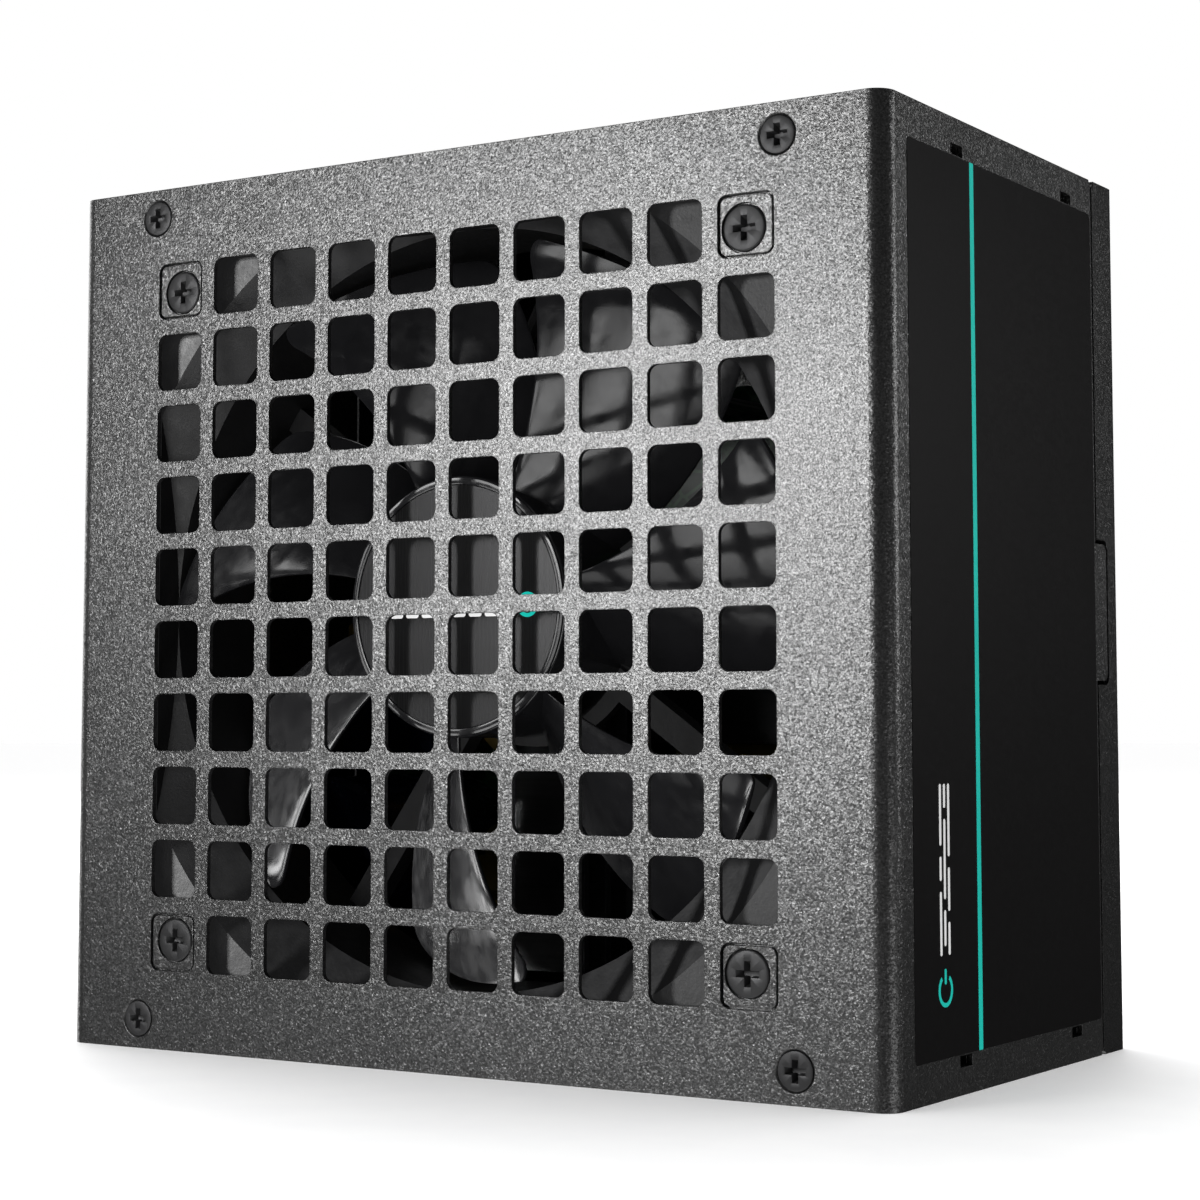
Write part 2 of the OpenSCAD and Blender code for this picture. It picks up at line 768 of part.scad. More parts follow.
// Rocker at mid travel: a drum about its pivot with a shallow valley on top
module rocker_outline() {
    intersection() {
        circle(rocker_r);
        polygon([[-9, -3], [9, -3], [9, 4.3], [0, 2.4], [-9, 4.3]]);
    }
}

module switch_rocker() {
    color([0.1, 0.1, 0.1]) translate([switch_x, switch_y, pivot_z]) rotate([-rocker_travel / 2, 0, 0]) {
        translate([-rocker_w / 2, 0, 0]) rotate([90, 0, 90]) linear_extrude(rocker_w) rocker_outline();
        rotate([0, 90, 0]) cylinder(h = rocker_w + 1.8, r = pivot_r, center = true);
    }
}

module switch_terminals() {
    color([0.8, 0.76, 0.6]) for (p = terminal_places)
        translate([switch_x + p[0], switch_y + p[1], case_h - switch_back - 7]) block(0.8, 4.8, 9);
}

// Live, neutral and their switched returns, and the earth wire to its screw
mains_r = 1.3;
mains_routes = [
    [[-47, 18, 111.6], [-47, 17, 108], [-42, 8, 105], [-25, 2, 105], [-8, 3, 106], [-2.5, 9, 107.5],
        [-1.5, 14.5, 111], [-1.5, 15, 116.6]],
    [[-33, 18, 111.6], [-33, 16.5, 108.5], [-28, 10, 103], [-16, 7, 102], [0, 6, 102.5], [5, 9.5, 106],
        [5.5, 14.5, 111], [5.5, 15, 116.6]],
    [[-1.5, 25, 116.6], [-1, 25, 113], [2, 24, 109.5], [5.5, 26, 106], [6, 32.7, 106]],
    [[5.5, 25, 116.6], [5.5, 25, 113], [9, 24, 109], [12, 26, 106], [12, 32.7, 106]],
    [[-40, 22, 111.6], [-40, 20.5, 108.3], [-38, 14, 107], [-31, 9, 110], [-20, 7, 116],
        [-12, 4.5, 126], [-10, 4, 135.2]]
];
mains_colors = [[0.35, 0.2, 0.1], [0.15, 0.25, 0.6], [0.35, 0.2, 0.1], [0.15, 0.25, 0.6], [0.5, 0.6, 0.1]];

module mains_wires() {
    for (i = [0 : len(mains_routes) - 1])
        color(mains_colors[i]) wire(curve(mains_routes[i], 5), mains_r, [0.31, 0.93, 0.05]);
}

// Screw through the end wall with the earth wire's ring terminal and a nut on the inside
module earth_screw() {
    color([0.75, 0.75, 0.72]) translate([earth_x, earth_y, case_h]) difference() {
        union() {
            cylinder(h = 1.2, r = 3.4);
            translate([0, 0, -4.5]) cylinder(h = 5, r = 2);
            translate([0, 0, -sheet - 1]) cylinder(h = 1, r = 3.8);
            translate([0, 0, -sheet - 3.4]) cylinder(h = 2.4 + eps, r = 3.8, $fn = 6);
        }
        translate([0, 0, 1.2]) mirror([0, 0, 1]) cross_recess(2, 0.9);
    }
}

module cable_grommet() {
    color([0.07, 0.07, 0.07]) translate([outlet_x, outlet_y, 0]) difference() {
        union() {
            cylinder(h = 8, r = outlet_bore / 2 + grommet_wall - 0.05);
            translate([0, 0, sheet + 0.05]) cylinder(h = 1.6, r = outlet_bore / 2 + grommet_wall + 1.5);
        }
        translate([0, 0, -1]) cylinder(h = 10, r = outlet_bore / 2);
        translate([0, 0, -eps]) cylinder(h = 1.2, r1 = outlet_bore / 2 + 1.2, r2 = outlet_bore / 2);
    }
}

// ---- main circuit board and what it carries ----

module main_board() {
    z_mid = (board_z0 + board_z1) / 2;
    color([0.12, 0.36, 0.16]) slab(board_y + half_d, board_y + half_d + board_t) difference() {
        translate([0, z_mid]) round_square(board_w, board_z1 - board_z0, 2);
        standoff_places() circle(1.7);
    }
}

// Hexagon pillars riveted into the back plate
module board_standoffs() {
    d0 = board_y + half_d + board_t;
    color([0.8, 0.68, 0.35]) difference() {
        union() {
            slab(d0, case_d - sheet) standoff_places() circle(standoff_r, $fn = 6);
            slab(d0 + 1, case_d) standoff_places() circle(plate_hole_r - 0.02);
        }
        slab(d0 - 1, d0 + 5.5) standoff_places() circle(1.5);
    }
}

module board_screws() {
    color([0.7, 0.7, 0.72]) for (s = [-1, 1], z = [board_z0 + standoff_inset, board_z1 - standoff_inset])
        on_board(s * standoff_x, z) difference() {
            union() {
                cylinder(h = 1.8, r = 2.8);
                translate([0, 0, -6]) cylinder(h = 7, r = 1.48);
            }
            translate([0, 0, 1.8]) mirror([0, 0, 1]) cross_recess(1.7, 1);
        }
}

module insulation_sheet() {
    z_mid = (board_z0 + board_z1) / 2;
    color([0.85, 0.85, 0.8, 0.5]) slab(case_d - sheet - 0.45, case_d - sheet - 0.15) difference() {
        translate([0, z_mid]) round_square(board_w - 2, board_z1 - board_z0 - 2, 2);
        standoff_places() circle(standoff_r + 0.4);
    }
}

module fuse() {
    color([0.8, 0.82, 0.8]) on_board(-49, 107) {
        translate([-10, 0, 4.6]) rotate([0, 90, 0]) cylinder(h = 20, r = 2.4);
        for (x = [-9.5, 4.5]) {
            translate([x, 0, 4.6]) rotate([0, 90, 0]) cylinder(h = 5, r = 2.7);
            translate([x + 2.5, 0, 0]) block(3.4, 5, 4);
        }
    }
}

module inrush_limiter() {
    color([0.1, 0.3, 0.14]) on_board(-30, 106) {
        translate([0, 2.2, 8]) rotate([90, 0, 0]) cylinder(h = 4.4, r = 6);
        for (x = [-3.5, 3.5]) translate([x, 0, 0]) cylinder(h = 6, r = 0.5);
    }
}

module x_capacitors() {
    color([0.85, 0.65, 0.15]) for (p = [[-11, 106], [-56, 66]])
        on_board(p[0], p[1]) linear_extrude(15) round_square(18, 9, 0.8);
}

module y_capacitors() {
    color([0.16, 0.35, 0.62]) for (p = [[-38, 100], [-38, 74]]) on_board(p[0], p[1]) {
        translate([0, 1.6, 6.5]) rotate([90, 0, 0]) cylinder(h = 3.2, r = 4);
        for (x = [-2.5, 2.5]) translate([x, 0, 0]) cylinder(h = 5, r = 0.4);
    }
}

filter_chokes = [[-52, 88], [-24, 86]];
filter_h = 6;

module filter_choke_cores() {
    color([0.2, 0.42, 0.28]) for (p = filter_chokes) on_board(p[0], p[1]) toroid_core(8, 4.4, 6, filter_h);
}

module filter_choke_windings() {
    color([0.72, 0.4, 0.16]) for (p = filter_chokes)
        on_board(p[0], p[1]) toroid_turns(8, 4.4, 0.5, 14, filter_h);
}

module bridge_rectifier() {
    color([0.1, 0.1, 0.1]) on_board(-14.4, 58) {
        translate([0, 0, 6]) block(3.8, 20, 18);
        for (i = [-1.5 : 1 : 1.5]) translate([0, i * 5, 0]) block(0.8, 1.2, 7);
    }
}

module pfc_choke_core() {
    color([0.75, 0.7, 0.2]) on_board(-30.2, 56) toroid_core(8.2, 4.4, 6.4, 6.4);
}

module pfc_choke_winding() {
    color([0.72, 0.4, 0.16]) on_board(-30.2, 56) toroid_turns(8.2, 4.6, 0.55, 11, 6.4);
}

module bulk_capacitor() {
    color([0.12, 0.13, 0.2]) on_board(-52, 28) difference() {
        union() {
            cylinder(h = 37, r = 15);
            translate([0, 0, 37]) cylinder(h = 1, r1 = 15, r2 = 14);
        }
        translate([0, 0, 37.5]) cylinder(h = 1, r = 12.5);
        for (a = [0, 60, 120]) rotate(a) translate([-9, -0.3, 37.1]) cube([18, 0.6, 1]);
    }
}

module relay() {
    color([0.12, 0.25, 0.5]) on_board(-56, 52) linear_extrude(15) round_square(20, 10, 0.6);
}

module primary_heatsink() {
    color([0.75, 0.76, 0.78]) on_board(-11, 41) {
        translate([-1.5, -29, 1]) cube([3, 58, 38]);
        for (h = [18, 24.5, 31, 37.5]) translate([1, -29, h]) cube([12, 58, 1.5]);
    }
}

module primary_transistors() {
    color([0.09, 0.09, 0.09]) for (z = [21, 38]) on_board(-15.1, z) difference() {
        union() {
            translate([0, 0, 6]) block(5, 15.6, 20);
            for (i = [-1 : 1]) translate([0, i * 5.4, 0]) block(0.8, 1.6, 7);
        }
        translate([-3, 0, 21.5]) rotate([0, 90, 0]) cylinder(h = 3, r = 1.8);
    }
}

module main_transformer_core() {
    color([0.22, 0.22, 0.23]) on_board(26, 56) difference() {
        translate([0, 0, 3]) block(34, 14, 29);
        for (s = [-1, 1]) translate([s * 10, 0, 8]) block(9, 16, 19);
    }
}

// Wound bobbin on the middle leg of the core
module main_transformer_winding() {
    color([0.85, 0.78, 0.25]) on_board(26, 56) difference() {
        union() {
            translate([0, 0, 8.5]) linear_extrude(18) round_square(28.4, 27, 4);
            block(27, 30, 2.8);
            for (s = [-1, 1]) translate([0, s * 11, 0]) block(20, 4, 10);
        }
        translate([0, 0, 8]) block(11.2, 14.4, 19.5);
        for (s = [-1, 1]) translate([s * 19.6, 0, 8]) block(10, 14.4, 19.5);
    }
}

module standby_transformer() {
    color([0.83, 0.76, 0.3]) on_board(-27.6, 26) {
        block(15, 16, 3);
        translate([0, 0, 2.5]) linear_extrude(12) round_square(14, 17, 3);
        translate([0, 0, 2]) block(16, 6, 15);
    }
}

module secondary_heatsink() {
    color([0.75, 0.76, 0.78]) on_board(35, 34) {
        translate([-25, -1.5, 1]) cube([50, 3, 36]);
        for (h = [22, 28.5, 35]) translate([-25, -9, h]) cube([50, 8, 1.5]);
    }
}

module secondary_rectifiers() {
    color([0.09, 0.09, 0.09]) for (x = [18, 32, 46]) on_board(x, 37.85) difference() {
        union() {
            translate([0, 0, 5]) block(10, 4.5, 15);
            for (i = [-1 : 1]) translate([i * 2.54, 0, 0]) block(1.2, 0.7, 6);
        }
        translate([0, -3, 17.5]) rotate([-90, 0, 0]) cylinder(h = 8, r = 1.7);
    }
}

module output_choke_core() {
    color([0.8, 0.75, 0.3]) on_board(57, 58) toroid_core(7.4, 4.4, 6.4, 6.6);
}

module output_choke_winding() {
    color([0.72, 0.4, 0.16]) on_board(57, 58) toroid_turns(7.4, 4.6, 0.6, 10, 6.6);
}

output_caps = [[14, 15], [26, 15], [38, 15], [50, 15], [60, 82], [60, 95]];

module output_capacitors() {
    color([0.1, 0.16, 0.14]) for (p = output_caps) on_board(p[0], p[1]) difference() {
        cylinder(h = 20, r = 5);
        for (a = [0, 90]) rotate(a) translate([-3.6, -0.2, 19.6]) cube([7.2, 0.4, 1]);
    }
}

module control_board() {
    color([0.1, 0.32, 0.2]) on_board(26, 84) {
        translate([-20, -0.8, 0]) cube([40, 1.6, 24]);
        for (x = [-11, 9]) translate([x, -0.7, 8]) rotate([90, 0, 0]) cube([8, 10, 1.6]);
        translate([-2, 0.7, 10]) cube([6, 1.6, 8]);
    }
}

cover_shell();
base_chassis();
side_label_right();
side_label_left();
rating_label();
cover_screws();
fan_screws();
fan_frame();
fan_impeller();
hub_sticker();
fan_shaft();
shaft_clip();
rotor_yoke();
rotor_magnet();
fan_bearing();
stator_core();
stator_coils();
fan_circuit_board();
fan_lead();
fan_header();
inlet_body();
inlet_pins();
inlet_screws();
switch_housing();
switch_rocker();
switch_terminals();
mains_wires();
earth_screw();
cable_grommet();
main_board();
board_standoffs();
board_screws();
insulation_sheet();
fuse();
inrush_limiter();
x_capacitors();
y_capacitors();
filter_choke_cores();
filter_choke_windings();
bridge_rectifier();
pfc_choke_core();
pfc_choke_winding();
bulk_capacitor();
relay();
primary_heatsink();
primary_transistors();
main_transformer_core();
main_transformer_winding();
standby_transformer();
secondary_heatsink();
secondary_rectifiers();
output_choke_core();
output_choke_winding();
output_capacitors();
control_board();
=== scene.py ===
"""Looks of the power supply unit: materials, a smooth fan, detailed screws, labels, camera and light."""
import json
import math

import bmesh
import bpy
from mathutils import Euler, Matrix, Vector


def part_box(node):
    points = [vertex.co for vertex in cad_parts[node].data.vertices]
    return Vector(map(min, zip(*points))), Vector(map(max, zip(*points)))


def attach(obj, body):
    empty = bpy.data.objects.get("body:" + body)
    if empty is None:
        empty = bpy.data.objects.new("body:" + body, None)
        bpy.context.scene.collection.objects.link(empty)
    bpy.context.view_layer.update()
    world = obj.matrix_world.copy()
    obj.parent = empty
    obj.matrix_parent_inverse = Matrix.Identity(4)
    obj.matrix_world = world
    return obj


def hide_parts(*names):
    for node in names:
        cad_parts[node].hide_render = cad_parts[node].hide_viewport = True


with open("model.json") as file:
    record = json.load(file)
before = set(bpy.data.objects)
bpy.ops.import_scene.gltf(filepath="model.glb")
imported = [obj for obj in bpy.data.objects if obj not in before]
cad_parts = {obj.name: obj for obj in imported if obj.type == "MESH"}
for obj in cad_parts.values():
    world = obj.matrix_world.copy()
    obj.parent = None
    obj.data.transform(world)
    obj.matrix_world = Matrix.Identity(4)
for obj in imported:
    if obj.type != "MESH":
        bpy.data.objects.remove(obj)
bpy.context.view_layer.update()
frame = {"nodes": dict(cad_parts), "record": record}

MM = 0.001
NODES = frame["nodes"]
FACE_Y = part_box("cover_shell")[0].y
FAN_Z = sum(corner.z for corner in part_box("fan_frame")) / 2
FAN_AXIS = Vector((0, FACE_Y, FAN_Z))
scene = bpy.context.scene


# ---- camera, stage and light ----

CAMERA_PLACE = (0.2311, -0.3632, 0.0525)
CAMERA_YAW = 32.45
CAMERA_PITCH = 4.56
LENS = 78.2
LENS_SHIFT = (0.0044, -0.072)
WORLD_FILL = 0.022
FLOOR_RADIUS = 6
FLOOR_SUN = 3.7
PRINT_SUN = 3.6
PRINT_SUN_PLACE = (0.7, -1, 0.3)
CASE_MIDDLE = (0, 0, 70 * MM)
KEY_TARGET = (0.03, -0.043, 0.095)
CASE_LIGHTS = [
    # name, place, target, columns, rows, pane width, pane height, bar, radiance
    ("overhead", (-0.6, 0.6, 1.2), CASE_MIDDLE, 1, 1, 1.2, 1.2, 0, 1.6),
    ("key", (-0.225, -0.52, 0.155), KEY_TARGET, 2, 2, 0.1, 0.08, 0.012, 10),
    ("side", (0.9, 0.75, 0.24), CASE_MIDDLE, 1, 1, 0.26, 0.26, 0, 4.4),
    ("rear", (-0.72, 1.2, 0.45), CASE_MIDDLE, 1, 1, 1.2, 0.9, 0, 2.6),
    ("left", (-1.3, 0.4, 0.5), CASE_MIDDLE, 1, 1, 1.1, 0.9, 0, 2.2),
]
FAN_LIGHTS = {
    # name, azimuth, elevation, distance, columns, pane width, pane height, bar, radiance
    "blades": [
        ("blade_front", 20, -14, 2.5, 3, 0.55, 1.9, 0.15, 3.6),
        ("blade_low", -10, -40, 2.5, 2, 0.5, 0.8, 0.15, 2.5),
        ("blade_left", -85, 0, 2.5, 2, 0.95, 2.2, 0.15, 9),
        ("blade_high_left", -64, 35, 2.5, 2, 0.5, 0.6, 0.15, 4),
        ("blade_high", 15, 36, 2.5, 2, 0.5, 0.6, 0.15, 2),
    ],
    "frame": [("frame_front", 0, -5, 2.5, 2, 0.8, 1.5, 0.1, 2.6)],
    "frame_corners": [("frame_left", -50, 2, 2.5, 1, 0.4, 0.8, 0, 60)],
    "hub": [("hub_box", -22, 12, 0.5, 1, 0.13, 0.13, 0, 8)],
    "hub_bands": [("hub_strip", -26, 18, 0.5, 1, 0.08, 0.36, 0, 13)],
    "rim": [
        ("rim_left", -52, 3, 0.6, 1, 0.25, 0.25, 0, 4),
        ("rim_high_left", -50, 24, 0.6, 1, 0.25, 0.25, 0, 6),
        ("rim_top", -32, 22, 0.6, 1, 0.25, 0.25, 0, 5),
        ("rim_low", -34, -20, 0.6, 1, 0.25, 0.25, 0, 5),
        ("rim_right", -16, 3, 0.6, 1, 0.25, 0.25, 0, 3),
    ],
}
SHADED_BY_GRID = ("frame_corners", "hub_bands")
GLOW_DISTANCE = 1.2
GLOW_SIZE = 0.7
GLOW_BOXES = [
    # name, azimuth, elevation, radiance
    ("glow_front_left", -28, -46, 1.2),
    ("glow_front_right", 35, -44, 1.0),
    ("glow_rear_left", 212, -36, 1.6),
    ("glow_rear", 202, -14, 1.4),
    ("glow_left", -105, -20, 1.6),
    ("glow_right", 85, -26, 1.1),
]


def look_matrix(place, yaw, pitch):
    """Stands a camera at place, turned by yaw from +Y towards -X and tipped up by pitch."""
    turn = Euler((math.radians(90 + pitch), 0, math.radians(yaw)), "XYZ")
    return Matrix.Translation(place) @ turn.to_matrix().to_4x4()


def add_camera():
    data = bpy.data.cameras.new("camera")
    data.sensor_width = 36
    data.lens = LENS
    data.shift_x, data.shift_y = LENS_SHIFT
    data.clip_start = 0.01
    camera = bpy.data.objects.new("camera", data)
    camera.matrix_world = look_matrix(CAMERA_PLACE, CAMERA_YAW, CAMERA_PITCH)
    scene.collection.objects.link(camera)
    scene.camera = camera


def aimed(place, target):
    """A matrix at place whose -Z looks at target."""
    aim = Vector(target) - Vector(place)
    return Matrix.Translation(place) @ aim.to_track_quat("-Z", "Y").to_matrix().to_4x4()


def add_softbox(name, place, target, width, height, radiance):
    """A rectangular area light at place that faces target."""
    data = bpy.data.lights.new(name, "AREA")
    data.shape = "RECTANGLE"
    data.size = width
    data.size_y = height
    data.energy = radiance * math.pi * width * height
    lamp = bpy.data.objects.new(name, data)
    lamp.matrix_world = aimed(place, target)
    scene.collection.objects.link(lamp)
    return lamp


def add_window(name, place, target, columns, rows, width, height, bar, radiance):
    """Softboxes in a grid with dark bars between, as a studio window. One pane is a plain softbox."""
    middle = aimed(place, target)
    panes = []
    for i in range(columns):
        for j in range(rows):
            across = (i - (columns - 1) / 2) * (width + bar)
            up = (j - (rows - 1) / 2) * (height + bar)
            lamp = add_softbox(f"{name}_{i}_{j}", place, target, width, height, radiance)
            lamp.matrix_world = middle @ Matrix.Translation((across, up, 0))
            panes.append(lamp)
    return panes


def around(azimuth, elevation, distance):
    """A place seen from the fan at an azimuth from -Y towards +X and an elevation, in degrees."""
    a = math.radians(azimuth)
    e = math.radians(elevation)
    aim = Vector((math.sin(a) * math.cos(e), -math.cos(a) * math.cos(e), math.sin(e)))
    return FAN_AXIS + aim * distance


def group_of(name, objects):
    """A collection that no scene shows, for light linking."""
    group = bpy.data.collections.new(name)
    for item in objects:
        group.objects.link(item)
    return group


def all_but(name, objects):
    """A group for light linking that means everything except these objects."""
    group = group_of(name, objects)
    for link in group.collection_objects:
        link.light_linking.link_state = "EXCLUDE"
    return group


def light_only(lamps, objects, name, shaded=False):
    """These lamps light these objects alone, and unless shaded nothing else shades them."""
    group = group_of(name, objects)
    for lamp in lamps:
        lamp.light_linking.receiver_collection = group
        if not shaded:
            lamp.light_linking.blocker_collection = group


def add_world():
    """White to look at, and dim as a light, so that the softboxes shape the metal."""
    world = bpy.data.worlds.new("studio")
    scene.world = world
    world.use_nodes = True
    tree = world.node_tree
    tree.nodes.clear()
    seen = tree.nodes.new("ShaderNodeBackground")
    seen.inputs["Color"].default_value = (1, 1, 1, 1)
    seen.inputs["Strength"].default_value = 1.0
    dim = tree.nodes.new("ShaderNodeBackground")
    dim.inputs["Color"].default_value = (1, 1, 1, 1)
    dim.inputs["Strength"].default_value = WORLD_FILL
    path = tree.nodes.new("ShaderNodeLightPath")
    mix = tree.nodes.new("ShaderNodeMixShader")
    out = tree.nodes.new("ShaderNodeOutputWorld")
    tree.links.new(path.outputs["Is Camera Ray"], mix.inputs["Fac"])
    tree.links.new(dim.outputs[0], mix.inputs[1])
    tree.links.new(seen.outputs[0], mix.inputs[2])
    tree.links.new(mix.outputs[0], out.inputs["Surface"])


def add_floor_glow(floor):
    """Boxes below the floor, as its bounce on upright faces seen from above. The floor doesn't shade them."""
    group = all_but("not_shading_glow", [floor])
    for name, azimuth, elevation, radiance in GLOW_BOXES:
        place = around(azimuth, elevation, GLOW_DISTANCE)
        lamp = add_softbox(name, place, FAN_AXIS, GLOW_SIZE, GLOW_SIZE, radiance)
        lamp.light_linking.blocker_collection = group


def add_sun(name, energy, place, lit, spread=None, shaded=False):
    """A sun that shines from place through the origin on the lit objects alone, spread in degrees."""
    data = bpy.data.lights.new(name, "SUN")
    data.energy = energy
    if spread:
        data.angle = math.radians(spread)
    lamp = bpy.data.objects.new(name, data)
    lamp.matrix_world = aimed(place, (0, 0, 0))
    scene.collection.objects.link(lamp)
    light_only([lamp], lit, "lit_by_" + name, shaded)


def add_stage():
    """A round pale floor, with a light of its own, that casts nothing back on the metal."""
    shade = Shade("studio_floor", (0.86, 0.86, 0.87), 0.75)
    grain = shade.noise(90, 4)
    shade.color(shade.ramp(grain, [(0.3, (0.85, 0.85, 0.855)), (0.7, (0.87, 0.87, 0.87))]))
    bm = bmesh.new()
    bmesh.ops.create_circle(bm, cap_ends=True, segments=96, radius=FLOOR_RADIUS)
    floor = new_object("studio_floor", bm)
    floor.data.materials.append(shade.material)
    floor.visible_diffuse = False
    floor.visible_glossy = False
    add_sun("floor_light", FLOOR_SUN, (0, 0, 1), [floor], spread=120, shaded=True)
    add_floor_glow(floor)


def add_lights(impeller, sticker, bead, prints):
    """Soft lights for the case, and lights of their own for the fan's parts and for the prints."""
    fan_frame = NODES["fan_frame"]
    not_in_key = all_but("not_in_key", [impeller, fan_frame, sticker, bead])
    for name, place, target, columns, rows, width, height, bar, radiance in CASE_LIGHTS:
        lamps = add_window(name, place, target, columns, rows, width, height, bar, radiance)
        if name == "key":
            for lamp in lamps:
                lamp.light_linking.receiver_collection = not_in_key
    lit = {
        "blades": [impeller],
        "frame": [fan_frame],
        "frame_corners": [fan_frame],
        "hub": [sticker, bead],
        "hub_bands": [sticker],
        "rim": [bead],
    }
    for group, boxes in FAN_LIGHTS.items():
        lamps = []
        for name, azimuth, elevation, distance, columns, width, height, bar, radiance in boxes:
            place = around(azimuth, elevation, distance)
            lamps += add_window(name, place, FAN_AXIS, columns, 1, width, height, bar, radiance)
        light_only(lamps, lit[group], group, shaded=group in SHADED_BY_GRID)
    add_sun("print_light", PRINT_SUN, PRINT_SUN_PLACE, prints)


# ---- materials ----

class Shade:
    """A material, with the row frame's metres as its texture coordinates."""

    def __init__(self, name, color, rough, metal=0.0, specular=0.5):
        self.material = bpy.data.materials.new(name)
        self.material.use_nodes = True
        self.tree = self.material.node_tree
        self.bsdf = self.tree.nodes["Principled BSDF"]
        self.bsdf.inputs["Base Color"].default_value = (*color, 1)
        self.bsdf.inputs["Roughness"].default_value = rough
        self.bsdf.inputs["Metallic"].default_value = metal
        self.bsdf.inputs["Specular IOR Level"].default_value = specular
        self.place = self.node("ShaderNodeTexCoord").outputs["Object"]
        self.normal = None

    def node(self, kind, **settings):
        made = self.tree.nodes.new(kind)
        for key, value in settings.items():
            setattr(made, key, value)
        return made

    def link(self, output, socket):
        self.tree.links.new(output, socket)

    def stretched(self, scale):
        """The coordinates with each axis multiplied."""
        mapping = self.node("ShaderNodeMapping")
        mapping.inputs["Scale"].default_value = scale
        self.link(self.place, mapping.inputs["Vector"])
        return mapping.outputs["Vector"]

    def noise(self, scale, detail=2.0, rough=0.5, vector=None):
        made = self.node("ShaderNodeTexNoise")
        made.inputs["Scale"].default_value = scale
        made.inputs["Detail"].default_value = detail
        made.inputs["Roughness"].default_value = rough
        self.link(vector or self.place, made.inputs["Vector"])
        return made.outputs["Fac"]

    def cells(self, scale, feature="F1", output="Distance"):
        made = self.node("ShaderNodeTexVoronoi", feature=feature)
        made.inputs["Scale"].default_value = scale
        self.link(self.place, made.inputs["Vector"])
        return made.outputs[output]

    def ramp(self, value, stops):
        """Colours or greys along value, as (place, colour) pairs."""
        made = self.node("ShaderNodeValToRGB")
        elements = made.color_ramp.elements
        while len(elements) < len(stops):
            elements.new(0.5)
        for element, (place, color) in zip(elements, stops):
            element.position = place
            element.color = (*color, 1) if isinstance(color, tuple) else (color, color, color, 1)
        self.link(value, made.inputs["Fac"])
        return made.outputs["Color"]

    def bump(self, height, distance, strength=1.0):
        """Adds relief of that depth in metres on top of any before it."""
        made = self.node("ShaderNodeBump")
        made.inputs["Strength"].default_value = strength
        made.inputs["Distance"].default_value = distance
        self.link(height, made.inputs["Height"])
        if self.normal:
            self.link(self.normal, made.inputs["Normal"])
        self.normal = made.outputs["Normal"]
        self.link(self.normal, self.bsdf.inputs["Normal"])

    def soft_edges(self, radius):
        """Rounds sharp edges a little where they catch the light."""
        made = self.node("ShaderNodeBevel", samples=4)
        made.inputs["Radius"].default_value = radius
        self.normal = made.outputs["Normal"]
        self.link(self.normal, self.bsdf.inputs["Normal"])

    def tilt_flakes(self, scale, reach):
        """Leans the normal a random way in every small cell, as metal flakes lie in paint."""
        random = self.node("ShaderNodeVectorMath", operation="SUBTRACT")
        self.link(self.cells(scale, "F1", "Color"), random.inputs[0])
        random.inputs[1].default_value = (0.5, 0.5, 0.5)
        lean = self.node("ShaderNodeVectorMath", operation="MULTIPLY_ADD")
        self.link(random.outputs["Vector"], lean.inputs[0])
        lean.inputs[1].default_value = (reach, reach, reach)
        self.link(self.normal, lean.inputs[2])
        unit = self.node("ShaderNodeVectorMath", operation="NORMALIZE")
        self.link(lean.outputs["Vector"], unit.inputs[0])
        self.normal = unit.outputs["Vector"]
        self.link(self.normal, self.bsdf.inputs["Normal"])

    def color(self, output):
        self.link(output, self.bsdf.inputs["Base Color"])

    def rough(self, output):
        self.link(output, self.bsdf.inputs["Roughness"])


def scaled(color, factor):
    return tuple(min(1.0, c * factor) for c in color)


def powder_coat(name, dark, light, flake):
    """Textured metallic powder coat: fine flakes, each at its own small tilt, in a rough skin."""
    shade = Shade(name, (light, light, light), 0.3, metal=0.9)
    shade.soft_edges(0.2 * MM)
    speck = shade.noise(3400, 2, 0.6)
    tone = shade.ramp(speck, [(0.37, dark), (0.5, light), (0.63, flake)])
    cloud = shade.ramp(shade.noise(60, 3), [(0.3, 0.92), (0.7, 1.0)])
    mix = shade.node("ShaderNodeMix", data_type="RGBA", blend_type="MULTIPLY")
    mix.inputs["Factor"].default_value = 1.0
    shade.link(tone, mix.inputs["A"])
    shade.link(cloud, mix.inputs["B"])
    shade.color(mix.outputs["Result"])
    shade.rough(shade.ramp(speck, [(0.3, 0.37), (0.7, 0.31)]))
    shade.tilt_flakes(3300, 0.15)
    shade.bump(shade.noise(2600, 2, 0.6), 0.05 * MM)
    return shade.material


def moulded(name, color, rough, grain_scale=2600, grain=0.012, metal=0.0, coat=0.0):
    """Moulded plastic, rubber or a dipped finish, with a grain (mm deep) and slight patches in tone."""
    shade = Shade(name, color, rough, metal)
    shade.bsdf.inputs["Coat Weight"].default_value = coat
    shade.bsdf.inputs["Coat Roughness"].default_value = 0.12
    patch = shade.noise(140, 4, 0.6)
    shade.color(shade.ramp(patch, [(0.3, scaled(color, 0.82)), (0.7, scaled(color, 1.16))]))
    shade.rough(shade.ramp(shade.noise(420, 3), [(0.3, max(rough - 0.06, 0.03)), (0.7, rough + 0.06)]))
    shade.bump(shade.noise(grain_scale, 3, 0.6), grain * MM)
    return shade.material


